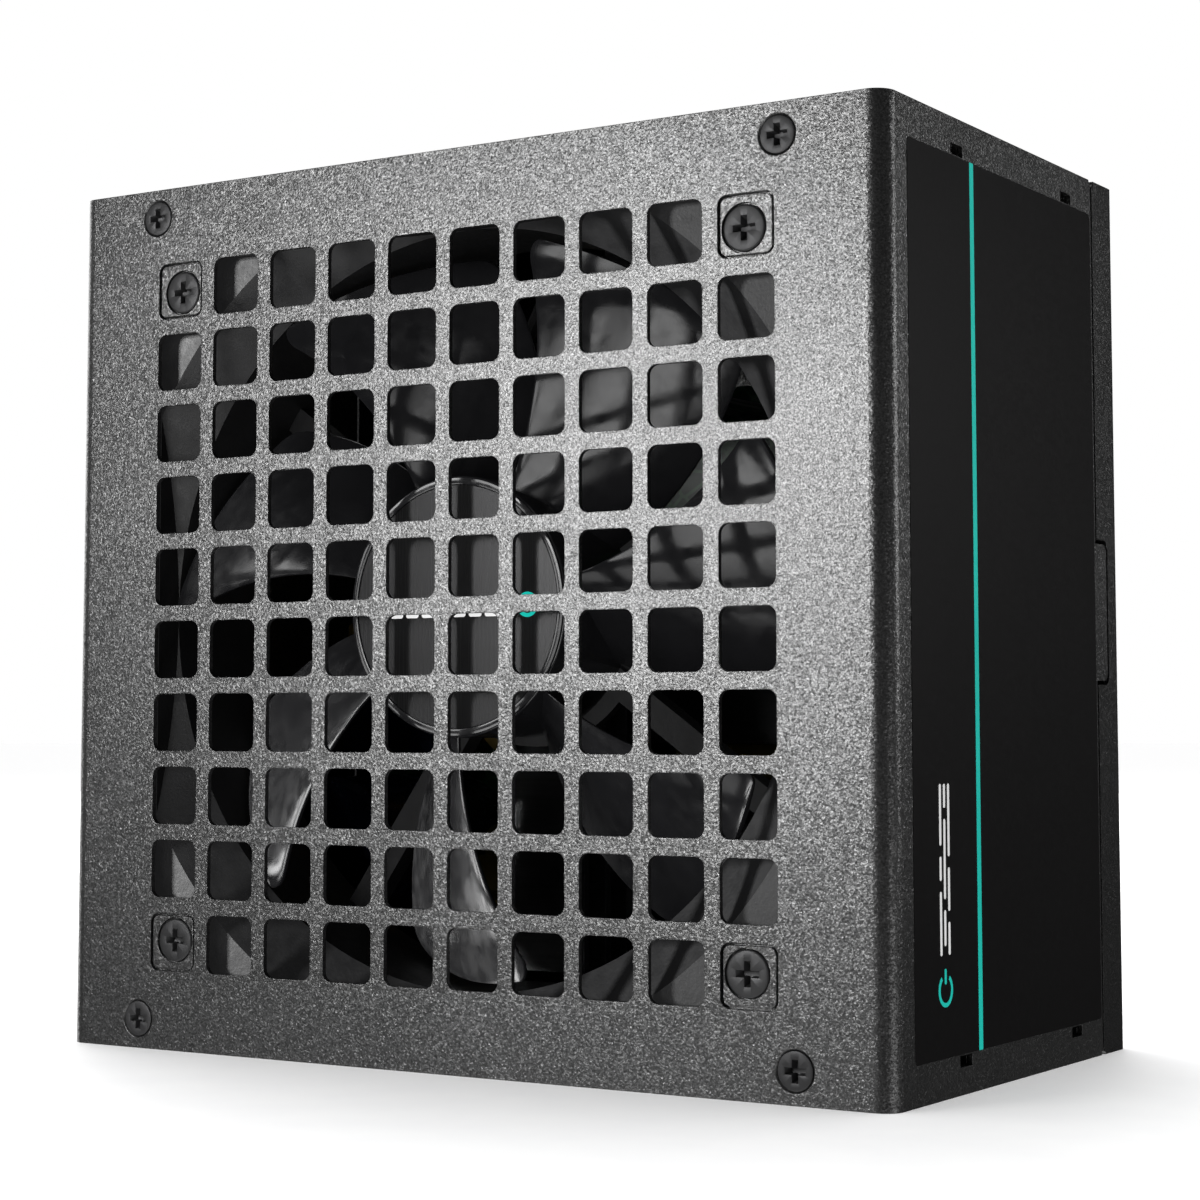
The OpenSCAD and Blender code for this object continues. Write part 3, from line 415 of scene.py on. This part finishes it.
def metal_finish(name, color, rough, brush=(1, 1, 1)):
    """Bare or plated metal. brush stretches its fine scratches along an axis."""
    shade = Shade(name, color, rough, metal=1.0)
    shade.soft_edges(0.12 * MM)
    lines = shade.noise(900, 4, 0.6, shade.stretched(brush))
    shade.color(shade.ramp(lines, [(0.3, scaled(color, 0.88)), (0.7, scaled(color, 1.06))]))
    shade.rough(shade.ramp(lines, [(0.3, rough + 0.1), (0.7, max(rough - 0.06, 0.05))]))
    shade.bump(lines, 0.006 * MM)
    return shade.material


def film(name, color, rough, specular=0.5):
    """Smooth printed film with a faint lay of the sheet under it."""
    shade = Shade(name, color, rough, specular=specular)
    tone = shade.noise(35, 3)
    shade.color(shade.ramp(tone, [(0.3, scaled(color, 0.93)), (0.7, scaled(color, 1.07))]))
    shade.rough(shade.ramp(shade.noise(1500, 2), [(0.3, rough - 0.03), (0.7, rough + 0.03)]))
    shade.bump(shade.noise(220, 2), 0.01 * MM, 0.3)
    return shade.material


def brushed_film():
    """Satin sticker film whose fine lines run up and down."""
    color = (0.03, 0.03, 0.031)
    shade = Shade("hub_film", color, 0.26, metal=0.2, specular=0.25)
    lines = shade.noise(2400, 3, 0.6, shade.stretched((1, 1, 0.02)))
    shade.color(shade.ramp(lines, [(0.3, scaled(color, 0.88)), (0.7, scaled(color, 1.12))]))
    shade.rough(shade.ramp(lines, [(0.3, 0.29), (0.7, 0.25)]))
    shade.bump(lines, 0.002 * MM)
    return shade.material


def circuit_board():
    """Green solder mask with faint copper runs under it."""
    shade = Shade("circuit_board", (0.01, 0.05, 0.02), 0.3)
    runs = shade.cells(260, "DISTANCE_TO_EDGE")
    shade.color(shade.ramp(runs, [(0.04, (0.02, 0.085, 0.03)), (0.1, (0.008, 0.042, 0.018))]))
    shade.bump(runs, 0.02 * MM, 0.4)
    return shade.material


def wound_copper():
    """Enamelled wire, with a change of tone from turn to turn."""
    shade = Shade("wound_copper", (0.55, 0.2, 0.06), 0.22, metal=0.85)
    shade.bsdf.inputs["Coat Weight"].default_value = 0.5
    tone = shade.noise(500, 3)
    shade.color(shade.ramp(tone, [(0.3, (0.42, 0.14, 0.04)), (0.7, (0.68, 0.28, 0.09))]))
    shade.bump(shade.noise(2500, 2), 0.01 * MM)
    return shade.material


def clear_part(name, color, rough, through):
    """Film or glass that lets some light through."""
    shade = Shade(name, color, rough)
    shade.bsdf.inputs["Transmission Weight"].default_value = through
    shade.bsdf.inputs["IOR"].default_value = 1.5
    shade.color(shade.ramp(shade.noise(90, 3), [(0.3, scaled(color, 0.9)), (0.7, color)]))
    shade.bump(shade.noise(300, 2), 0.01 * MM, 0.5)
    return shade.material


def wrapped_tape():
    """Yellow transformer tape in layers."""
    shade = Shade("yellow_tape", (0.3, 0.22, 0.03), 0.3)
    shade.bsdf.inputs["Coat Weight"].default_value = 0.4
    bands = shade.noise(700, 2, 0.5, shade.stretched((0.1, 1, 0.1)))
    shade.color(shade.ramp(bands, [(0.35, (0.24, 0.17, 0.02)), (0.65, (0.36, 0.27, 0.05))]))
    shade.bump(bands, 0.03 * MM)
    return shade.material


COVER_COAT = powder_coat("cover_coat", 0.135, 0.2, 0.275)
BASE_COAT = powder_coat("base_coat", 0.08, 0.13, 0.195)
SCREW_BLACK = moulded("black_oxide", (0.09, 0.09, 0.092), 0.46, 3000, 0.008, metal=0.6)
BLADE_BLACK = moulded("blade_black", (0.011, 0.011, 0.012), 0.16, 500, 0.002)
HUB_FILM = brushed_film()
LABEL_BLACK = film("label_black", (0.0125, 0.0115, 0.012), 0.34, 0.3)
PRINT_WHITE = film("print_white", (0.85, 0.85, 0.85), 0.4)
PRINT_TEAL = film("print_teal", (0.01, 0.55, 0.46), 0.4)
PRINT_GREY = film("print_grey", (0.2, 0.2, 0.2), 0.4)
SLOT_MATERIALS = {
    "powder_coat_cover": COVER_COAT,
    "powder_coat_base": BASE_COAT,
    "label_film": LABEL_BLACK,
    "black_screw": SCREW_BLACK,
    "fan_plastic": moulded("fan_plastic", (0.02, 0.02, 0.021), 0.42, 1800, 0.03),
    "blade_plastic": BLADE_BLACK,
    "sticker_film": HUB_FILM,
    "bright_steel": metal_finish("bright_steel", (0.62, 0.62, 0.64), 0.28),
    "nylon": moulded("nylon", (0.72, 0.69, 0.6), 0.45),
    "magnet_ferrite": moulded("ferrite", (0.045, 0.045, 0.048), 0.6, 1200, 0.03),
    "bronze": metal_finish("bronze", (0.62, 0.46, 0.2), 0.34),
    "copper_wire": wound_copper(),
    "circuit_board": circuit_board(),
    "wire_sleeve": moulded("wire_sleeve", (0.03, 0.03, 0.03), 0.4),
    "black_thermoplastic": moulded("black_thermoplastic", (0.013, 0.013, 0.014), 0.36, 1500, 0.015),
    "plated_brass": metal_finish("plated_brass", (0.72, 0.66, 0.5), 0.25, (1, 1, 0.05)),
    "rubber_black": moulded("rubber_black", (0.015, 0.015, 0.015), 0.65, 900, 0.03),
    "clear_film": clear_part("clear_film", (0.75, 0.75, 0.7), 0.35, 0.6),
    "fuse_glass": clear_part("fuse_glass", (0.85, 0.88, 0.86), 0.08, 0.7),
    "green_epoxy": moulded("green_epoxy", (0.02, 0.13, 0.05), 0.4, coat=0.3),
    "yellow_case": moulded("yellow_case", (0.3, 0.2, 0.03), 0.35, coat=0.3),
    "blue_epoxy": moulded("blue_epoxy", (0.012, 0.05, 0.18), 0.3, coat=0.5),
    "black_epoxy": moulded("black_epoxy", (0.018, 0.018, 0.018), 0.5, 1400, 0.02),
    "capacitor_sleeve": moulded("capacitor_sleeve", (0.015, 0.022, 0.05), 0.25, coat=0.5),
    "blue_case": moulded("blue_case", (0.012, 0.022, 0.06), 0.35, coat=0.3),
    "bare_aluminium": metal_finish("bare_aluminium", (0.5, 0.51, 0.52), 0.42, (0.05, 1, 1)),
    "yellow_tape": wrapped_tape(),
}


def dress_nodes():
    """Gives every CAD node the material of its slot."""
    for entry in frame["record"]["subparts"]:
        node = NODES[entry["node"]]
        node.data.materials.clear()
        node.data.materials.append(SLOT_MATERIALS[entry["material_slot"]])


# ---- mesh helpers ----

def new_object(name, bm, angle=35):
    """An object from a bmesh, smooth except across edges sharper than angle."""
    mesh = bpy.data.meshes.new(name)
    bmesh.ops.recalc_face_normals(bm, faces=bm.faces)
    bm.to_mesh(mesh)
    bm.free()
    mesh.shade_smooth()
    mesh.set_sharp_from_angle(angle=math.radians(angle))
    made = bpy.data.objects.new(name, mesh)
    scene.collection.objects.link(made)
    return made


def finish_piece(piece, body, slot, material, *replaced):
    piece.data.materials.append(material)
    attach(piece, body)
    if replaced:
        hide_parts(*replaced)
    return piece


def add_lathe(bm, profile, segments, matrix=None):
    """Revolves a closed profile of (radius, height) points about +Z."""
    rings = []
    for radius, height in profile:
        if radius < 1e-7:
            rings.append([bm.verts.new((0, 0, height))])
            continue
        angles = [2 * math.pi * k / segments for k in range(segments)]
        rings.append([bm.verts.new((radius * math.cos(a), radius * math.sin(a), height)) for a in angles])
    made = [v for ring in rings for v in ring]
    for first, second in zip(rings, rings[1:] + rings[:1]):
        if len(first) == 1 and len(second) == 1:
            continue
        for k in range(segments):
            n = (k + 1) % segments
            corners = [ring[i % len(ring)] for ring, i in ((first, k), (first, n), (second, n), (second, k))]
            bm.faces.new(list(dict.fromkeys(corners)))
    if matrix is not None:
        bmesh.ops.transform(bm, matrix=matrix, verts=made)


def arc(centre, radius, start, end, steps):
    """Points (x, y) on an arc, with its ends, in degrees."""
    angles = [math.radians(start + (end - start) * k / steps) for k in range(steps + 1)]
    return [(centre[0] + radius * math.cos(a), centre[1] + radius * math.sin(a)) for a in angles]


def rounded_outline(width, height, radius, steps=8):
    """Points round a rectangle with round corners, about its middle."""
    x = width / 2 - radius
    y = height / 2 - radius
    points = []
    for k, (cx, cy) in enumerate([(x, y), (-x, y), (-x, -y), (x, -y)]):
        points += arc((cx, cy), radius, 90 * k, 90 * k + 90, steps)
    return points


def add_plate(bm, outline, thick, matrix):
    """A flat plate of an outline, with the upper half of its edge drawn in a little."""
    count = len(outline)
    edge = thick / 2
    reach = max(abs(c) for p in outline for c in p)
    levels = [(0, 1), (edge, 1), (thick, 1 - edge / reach)]
    rings = [[bm.verts.new(matrix @ Vector((x * s, y * s, z))) for x, y in outline] for z, s in levels]
    for first, second in zip(rings, rings[1:]):
        for k in range(count):
            n = (k + 1) % count
            bm.faces.new([first[k], first[n], second[n], second[k]])
    bm.faces.new(rings[0][::-1])
    bm.faces.new(rings[-1])


def add_ring(bm, face, radii, thick):
    """A flat printed ring between two radii in mm, about the middle of a face."""
    inner, outer = (radius * MM for radius in radii)
    add_lathe(bm, [(inner, 0), (outer, 0), (outer, thick), (inner, thick)], 48, face)


def facing(axis, place):
    """A matrix that takes +Z to axis and the origin to place, with its X level where it can be."""
    z = Vector(axis).normalized()
    x = Vector((0, 0, 1)).cross(z)
    x = x.normalized() if x.length > 1e-6 else Vector((1, 0, 0))
    return Matrix.Translation(place) @ Matrix((x, z.cross(x), z)).transposed().to_4x4()


# ---- fan ----

FAN_TURN = Matrix.Translation(FAN_AXIS) @ Matrix.Rotation(math.radians(-90), 4, "X")
FAN_SEGMENTS = 128
HUB_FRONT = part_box("fan_impeller")[0].y - FACE_Y
HUB_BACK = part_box("rotor_magnet")[1].y - FACE_Y + 1.4 * MM
HUB_R = 20 * MM
HUB_SKIN = 1.6 * MM
HUB_FACE = 1.8 * MM
HUB_RIM = 0.35 * MM
STICKER_R = 18.6 * MM
STICKER_FRONT = HUB_FRONT + 0.1 * MM
STICKER_BACK = HUB_FRONT + 0.25 * MM
STICKER_INK = 0.03 * MM
# the sticker's print, in mm from the hub's middle
HUB_DASHES = [(2.95 * k - 11.1, -0.35) for k in range(7)]
HUB_DASH = (2.35, 2.6, 0.4)
HUB_RING_X = 13.2
HUB_RING = (1.3, 1.9)
BLADES = 7
TIP_R = 57.5 * MM
ROOT_R = HUB_R - 0.6 * MM
CORNER_R = 4 * MM
BLADE_START = 4.6 * MM
BLADE_RISE = 16.2 * MM
BLADE_THICK = 1.5 * MM
# shares: how thin the edges are, how far in the loft's ends lie, and how much the rise grows backwards
EDGE_THICK = 0.35
EDGE_INSET = 0.004
RISE_BEND = 0.3
# degrees
FIRST_TIP = 27
BLADE_CHORD = 37
CHORD_TAPER = 2.5
ROOT_SWEEP = 15
CORNER_ANGLES = (12, 24, 36, 48, 58, 66, 72)


def blade_point(r, s, side):
    """A point on a blade's skin: s runs from the leading to the trailing edge, side is -1 in front."""
    reach = (max(r, HUB_R) - HUB_R) / (TIP_R - HUB_R)
    sweep = -ROOT_SWEEP * (1 - reach ** 1.35)
    e = max(0.0, r - TIP_R + CORNER_R)
    cut = math.degrees((CORNER_R - math.sqrt(CORNER_R ** 2 - e ** 2)) / r)
    angle = math.radians(sweep - cut - s * (BLADE_CHORD - CHORD_TAPER * reach - 2 * cut))
    fullness = max(0.0, math.sin(math.pi * s ** 0.7)) ** 0.6
    half = BLADE_THICK / 2 * (EDGE_THICK + (1 - EDGE_THICK) * fullness)
    climb = BLADE_RISE * ((1 - RISE_BEND) * s + RISE_BEND * s * s)
    depth = BLADE_START + BLADE_THICK / 2 + climb + side * half
    return Vector((r * math.cos(angle), depth, r * math.sin(angle)))


def add_blade(bm, turn, chord=26, spans=24):
    """One blade as a loft of closed sections, with rounded leading and trailing edges and tip corners."""
    steps = [0.5 - 0.5 * math.cos(math.pi * j / chord) for j in range(chord + 1)]
    stations = [EDGE_INSET + (1 - 2 * EDGE_INSET) * step for step in steps]
    radii = [ROOT_R + (TIP_R - CORNER_R - ROOT_R) * i / spans for i in range(spans + 1)]
    radii += [TIP_R - CORNER_R + CORNER_R * math.sin(math.radians(a)) for a in CORNER_ANGLES]
    matrix = Matrix.Translation(FAN_AXIS) @ Matrix.Rotation(-math.radians(turn), 4, "Y")
    rings = []
    for r in radii:
        side = EDGE_THICK if r == radii[-1] else 1.0
        section = [blade_point(r, 0, 0)]
        section += [blade_point(r, s, -side) for s in stations]
        section += [blade_point(r, 1, 0)]
        section += [blade_point(r, s, side) for s in reversed(stations)]
        rings.append([bm.verts.new(matrix @ p) for p in section])
    count = len(rings[0])
    for first, second in zip(rings, rings[1:]):
        for k in range(count):
            n = (k + 1) % count
            bm.faces.new([first[k], first[n], second[n], second[k]])
    for ring in (rings[0], rings[-1]):
        for k in range(chord):
            bm.faces.new([ring[1 + k], ring[2 + k], ring[count - 2 - k], ring[count - 1 - k]])
        bm.faces.new([ring[0], ring[1], ring[count - 1]])
        bm.faces.new([ring[chord + 1], ring[chord + 2], ring[chord + 3]])


def build_impeller():
    """The hub as a cup with a round rim and a seat for the sticker, and its blades."""
    bm = bmesh.new()
    ledge = HUB_FRONT + 0.2 * MM
    inside = HUB_FRONT + HUB_FACE
    rim = arc((HUB_R - HUB_RIM, ledge + HUB_RIM), HUB_RIM, -90, 0, 5)
    profile = [(0, STICKER_BACK), (STICKER_R, STICKER_BACK), (STICKER_R, ledge), *rim,
               (HUB_R, HUB_BACK), (HUB_R - HUB_SKIN, HUB_BACK), (HUB_R - HUB_SKIN, inside), (0, inside)]
    add_lathe(bm, profile, FAN_SEGMENTS, FAN_TURN)
    for k in range(BLADES):
        add_blade(bm, FIRST_TIP + 360 * k / BLADES)
    piece = new_object("impeller", bm, 40)
    return finish_piece(piece, "fan_rotor", "blade_plastic", BLADE_BLACK, "fan_impeller")


def build_hub_sticker():
    """Satin disc with a row of short dashes and a small ring printed on it."""
    bm = bmesh.new()
    soft = 0.05 * MM
    profile = [(0, STICKER_FRONT), (STICKER_R - soft, STICKER_FRONT), (STICKER_R, STICKER_FRONT + soft),
               (STICKER_R, STICKER_BACK), (0, STICKER_BACK)]
    add_lathe(bm, profile, FAN_SEGMENTS, FAN_TURN)
    disc = new_object("sticker", bm)
    finish_piece(disc, "fan_rotor", "sticker_film", HUB_FILM, "hub_sticker")
    face = facing((0, -1, 0), FAN_AXIS + Vector((0, STICKER_FRONT, 0)))
    bm = bmesh.new()
    outline = rounded_outline(*(size * MM for size in HUB_DASH))
    for x, y in HUB_DASHES:
        add_plate(bm, outline, STICKER_INK, face @ Matrix.Translation((x * MM, y * MM, 0)))
    bars = new_object("sticker_bars", bm)
    finish_piece(bars, "fan_rotor", "sticker_film", PRINT_WHITE)
    bm = bmesh.new()
    add_ring(bm, face @ Matrix.Translation((HUB_RING_X * MM, 0, 0)), HUB_RING, STICKER_INK)
    ring = new_object("sticker_ring", bm)
    finish_piece(ring, "fan_rotor", "sticker_film", PRINT_TEAL)
    return disc, [bars, ring]


def build_hub_bead():
    """The raised bead of the hub, just outside the sticker, with a slightly crowned top."""
    inner = STICKER_R + 0.05 * MM
    outer = HUB_R - 0.25 * MM
    soft = 0.16 * MM
    front = HUB_FRONT - 0.05 * MM
    foot = HUB_FRONT + 0.3 * MM
    rise = arc((inner + soft, front + soft), soft, 180, 262, 5)
    fall = arc((outer - soft, front + soft), soft, 278, 360, 5)
    crown = ((inner + outer) / 2, front - 0.03 * MM)
    bm = bmesh.new()
    add_lathe(bm, [(inner, foot), *rise, crown, *fall, (outer, foot)], FAN_SEGMENTS, FAN_TURN)
    piece = new_object("hub_bead", bm, 60)
    return finish_piece(piece, "fan_rotor", "blade_plastic", BLADE_BLACK)


# ---- screws ----

# sizes and places in mm
CASE_TOP = 140
COVER_SCREW_Z = 4.7
TOP_SCREW_X = 58
LOW_SCREW_X = 60
FAN_SCREW = 52.5
FAN_SCREW_SEAT = 0.8
INLET_AT = (-40, 20)
INLET_SCREW = 20
FLUSH_HEAD = [(0, 0), (2.55, 0), (2.72, -0.05), (2.78, -0.18), (2.7, -0.3),
              (1.75, -1.3), (1.75, -5), (0, -5)]
PAN_HEAD = [(0, 0.6), (3.1, 0.6), (3.3, 0.54), (3.42, 0.4), (3.45, 0.2), (3.45, 0),
            (2.1, 0), (2.1, -8), (0, -8)]
FLUSH_CROSS = 1.75
PAN_CROSS = 1.95
CROSS_HALF = 0.55
CROSS_DEPTH = 1.3
CROSS_ABOVE = 0.3
CROSS_TAPER = (0.62, 0.6)
HEAD_BEVEL = 0.05


def cross_cutter(top, reach):
    """A tapered cross that goes into a screw head whose face is at height top, in mm."""
    bm = bmesh.new()
    rings = []
    long_taper, wide_taper = CROSS_TAPER
    low_level = (top - CROSS_DEPTH, reach * long_taper, CROSS_HALF * wide_taper)
    for z, r, w in ((top + CROSS_ABOVE, reach, CROSS_HALF), low_level):
        quarter = [(r, -w), (r, w), (w, w)]
        turns = [Matrix.Rotation(math.radians(90 * k), 2) for k in range(4)]
        rings.append([bm.verts.new((*(t @ Vector(p)), z)) for t in turns for p in quarter])
    high, low = rings
    for k in range(len(low)):
        n = (k + 1) % len(low)
        bm.faces.new([low[k], low[n], high[n], high[k]])
    bm.faces.new(low[::-1])
    bm.faces.new(high)
    return bm


def screw_mesh(profile, reach):
    """A screw with a driver cross cut into its head, as a bmesh in mm."""
    solid = bmesh.new()
    add_lathe(solid, profile, 64)
    body = new_object("screw_body", solid)
    cutter = new_object("screw_cutter", cross_cutter(profile[0][1], reach))
    cut = body.modifiers.new("cross", "BOOLEAN")
    cut.object = cutter
    cut.solver = "EXACT"
    edge = body.modifiers.new("edge", "BEVEL")
    edge.width = HEAD_BEVEL
    edge.segments = 2
    edge.limit_method = "ANGLE"
    edge.angle_limit = math.radians(50)
    bpy.context.view_layer.update()
    shape = body.evaluated_get(bpy.context.evaluated_depsgraph_get())
    result = bmesh.new()
    result.from_mesh(shape.to_mesh())
    for scrap in (body, cutter):
        mesh = scrap.data
        bpy.data.objects.remove(scrap)
        bpy.data.meshes.remove(mesh)
    return result


def build_screws(name, node, profile, reach, places, axis):
    """Screws at places (mm) whose heads face axis, for the CAD node they stand for."""
    one = screw_mesh(profile, reach)
    mesh = bpy.data.meshes.new(name + "_one")
    one.to_mesh(mesh)
    one.free()
    bm = bmesh.new()
    for place in places:
        before = len(bm.verts)
        bm.from_mesh(mesh)
        bm.verts.ensure_lookup_table()
        at = facing(axis, Vector(place) * MM) @ Matrix.Scale(MM, 4)
        bmesh.ops.transform(bm, matrix=at, verts=bm.verts[before:])
    bpy.data.meshes.remove(mesh)
    finish_piece(new_object(name, bm), "case", "black_screw", SCREW_BLACK, node)


def build_all_screws():
    face = FACE_Y / MM
    cover = [(s * TOP_SCREW_X, face, CASE_TOP - COVER_SCREW_Z) for s in (-1, 1)]
    cover += [(s * LOW_SCREW_X, face, COVER_SCREW_Z) for s in (-1, 1)]
    build_screws("cover_screw_set", "cover_screws", FLUSH_HEAD, FLUSH_CROSS, cover, (0, -1, 0))
    seat = face + FAN_SCREW_SEAT
    middle = FAN_Z / MM
    fan = [(i * FAN_SCREW, seat, middle + j * FAN_SCREW) for j in (1, -1) for i in (-1, 1)]
    build_screws("fan_screw_set", "fan_screws", PAN_HEAD, PAN_CROSS, fan, (0, -1, 0))
    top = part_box("inlet_screws")[1].z / MM
    inlet = [(INLET_AT[0] + s * INLET_SCREW, INLET_AT[1], top) for s in (-1, 1)]
    build_screws("inlet_screw_set", "inlet_screws", FLUSH_HEAD, FLUSH_CROSS, inlet, (0, 0, 1))


# ---- labels ----

INK = 0.025 * MM
FILM = 0.07 * MM
# the side print, in mm and degrees: depths are from the fan face, heights from the floor
FILM_CORNER = 0.8
LINE_DEPTH = 28.25
LINE_WIDTH = 1.3
LINE_CORNER = 0.1
MARK_DEPTH = 16.5
MARK_Z = 15.1
MARK_RADII = (1.75, 2.35)
MARK_ARC = (125, 415)
MARK_BAR_Z = 17.0
MARK_BAR = (0.6, 2.2)
DASH_TOP = 43.8
DASH_WIDTH = 0.62
DASH_GAP = 1.5
DASH_COLUMNS = [
    (15.2, (8.6, 3.4, 8.9)),
    (16.55, (3.4, 11.2, 5.0)),
    (17.9, (10.2, 6.1, 4.6)),
]
# the rating label's table, in mm about its middle
PLATE_CORNER = 2
TABLE_INSET = 6
FRAME_LINE = 0.4
TABLE_LINE = 0.3
TABLE_ROWS = [26 - 11 * row for row in range(5)]
TABLE_COLUMNS = [-44 + 17.6 * column for column in range(6)]
# the rocker's marks, in mm
ROCKER_Y = 20
ROCKER_MARK = 4.4
ROCKER_BAR = (0.6, 3.4)
ROCKER_RING = (1.3, 1.8)


def add_bar(bm, face, x, y, width, height, radius=None, thick=INK):
    """A printed bar with round corners, by its middle and size in mm on a face."""
    radius = min(width, height) * 0.49 if radius is None else radius
    outline = [(px * MM, py * MM) for px, py in rounded_outline(width, height, radius, 4)]
    add_plate(bm, outline, thick, face @ Matrix.Translation((x * MM, y * MM, 0)))


def printed(name, bm, slot, material, body="case"):
    return finish_piece(new_object(name, bm), body, slot, material)


def add_arc_band(bm, face, x, y, radii, angles):
    """A printed band along an arc between two radii and two angles, in mm and degrees, on a face."""
    steps = 28
    inner, outer = radii
    start, end = angles
    outline = arc((x, y), outer, start, end, steps) + arc((x, y), inner, end, start, steps)
    low = [bm.verts.new(face @ Vector((px * MM, py * MM, 0))) for px, py in outline]
    high = [bm.verts.new(face @ Vector((px * MM, py * MM, INK))) for px, py in outline]
    count = len(outline)
    for k in range(count):
        n = (k + 1) % count
        bm.faces.new([low[k], low[n], high[n], high[k]])
    for k in range(steps):
        quad = [k, k + 1, count - 2 - k, count - 1 - k]
        bm.faces.new([low[i] for i in reversed(quad)])
        bm.faces.new([high[i] for i in quad])


def build_side_label(side, node):
    """A black film on a side wall, with a teal line, slim white dashes and a small power mark."""
    low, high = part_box(node)
    name = "label_right" if side > 0 else "label_left"
    middle = (low + high) / 2
    wall = Vector((low.x if side > 0 else high.x, middle.y, middle.z))
    # the face's X is level, towards the back on the right wall and the front on the left one
    face = facing((side, 0, 0), wall)
    height = (high.z - low.z) / MM
    bm = bmesh.new()
    add_bar(bm, face, 0, 0, (high.y - low.y) / MM, height, FILM_CORNER, FILM)
    finish_piece(new_object(name, bm), "case", "label_film", LABEL_BLACK, node)
    face = face @ Matrix.Translation((0, 0, FILM))

    def across(depth):
        return side * ((FACE_Y - middle.y) / MM + depth)

    def up(z):
        return z - middle.z / MM

    bm = bmesh.new()
    add_bar(bm, face, across(LINE_DEPTH), 0, LINE_WIDTH, height, LINE_CORNER)
    add_arc_band(bm, face, across(MARK_DEPTH), up(MARK_Z), MARK_RADII, MARK_ARC)
    add_bar(bm, face, across(MARK_DEPTH), up(MARK_BAR_Z), *MARK_BAR)
    teal = printed(name + "_teal", bm, "label_film", PRINT_TEAL)
    bm = bmesh.new()
    for depth, lengths in DASH_COLUMNS:
        z = DASH_TOP
        for length in lengths:
            add_bar(bm, face, across(depth), up(z - length / 2), DASH_WIDTH, length)
            z -= length + DASH_GAP
    dashes = printed(name + "_dashes", bm, "label_film", PRINT_WHITE)
    return [teal, dashes]


def build_rating_label():
    """A plain black plate label on the back, with a grey frame and empty ruled rows."""
    low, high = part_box("rating_label")
    face = facing((0, 1, 0), Vector(((low.x + high.x) / 2, low.y, (low.z + high.z) / 2)))
    width = (high.x - low.x) / MM
    height = (high.z - low.z) / MM
    bm = bmesh.new()
    add_bar(bm, face, 0, 0, width, height, PLATE_CORNER, FILM)
    finish_piece(new_object("rating_plate", bm), "case", "label_film", LABEL_BLACK, "rating_label")
    face = face @ Matrix.Translation((0, 0, FILM))
    bm = bmesh.new()
    for s in (-1, 1):
        add_bar(bm, face, 0, s * (height / 2 - TABLE_INSET), width - 2 * TABLE_INSET, FRAME_LINE)
        add_bar(bm, face, s * (width / 2 - TABLE_INSET), 0, FRAME_LINE, height - 2 * TABLE_INSET)
    for y in TABLE_ROWS:
        add_bar(bm, face, 0, y, width - 4 * TABLE_INSET, TABLE_LINE)
    top, bottom = TABLE_ROWS[0], TABLE_ROWS[-1]
    for x in TABLE_COLUMNS:
        add_bar(bm, face, x, (top + bottom) / 2, TABLE_LINE, top - bottom)
    printed("rating_rules", bm, "label_film", PRINT_GREY)


def build_rocker_marks():
    """A bar and a ring printed on the two halves of the rocker, laid on its surface."""
    rocker = NODES["switch_rocker"]
    matrix = rocker.matrix_world
    inverse = matrix.inverted()
    low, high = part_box("switch_rocker")
    middle_x = (low.x + high.x) / 2
    for name, side in (("rocker_bar", -1), ("rocker_ring", 1)):
        start = inverse @ Vector((middle_x, (ROCKER_Y + side * ROCKER_MARK) * MM, high.z + 5 * MM))
        _, place, normal, _ = rocker.ray_cast(start, inverse.to_3x3() @ Vector((0, 0, -1)))
        place = matrix @ place
        normal = matrix.to_3x3() @ normal
        face = facing(normal, place - normal * 0.005 * MM)
        bm = bmesh.new()
        if name == "rocker_bar":
            add_bar(bm, face, 0, 0, *ROCKER_BAR)
        else:
            add_ring(bm, face, ROCKER_RING, INK)
        printed(name, bm, "black_thermoplastic", PRINT_WHITE, "rocker")


# ---- main ----

scene.view_settings.view_transform = "Standard"
add_world()
add_camera()
add_stage()
dress_nodes()
impeller = build_impeller()
hub_sticker, marks = build_hub_sticker()
hub_bead = build_hub_bead()
build_all_screws()
marks += build_side_label(1, "side_label_right")
build_side_label(-1, "side_label_left")
build_rating_label()
build_rocker_marks()
add_lights(impeller, hub_sticker, hub_bead, marks)
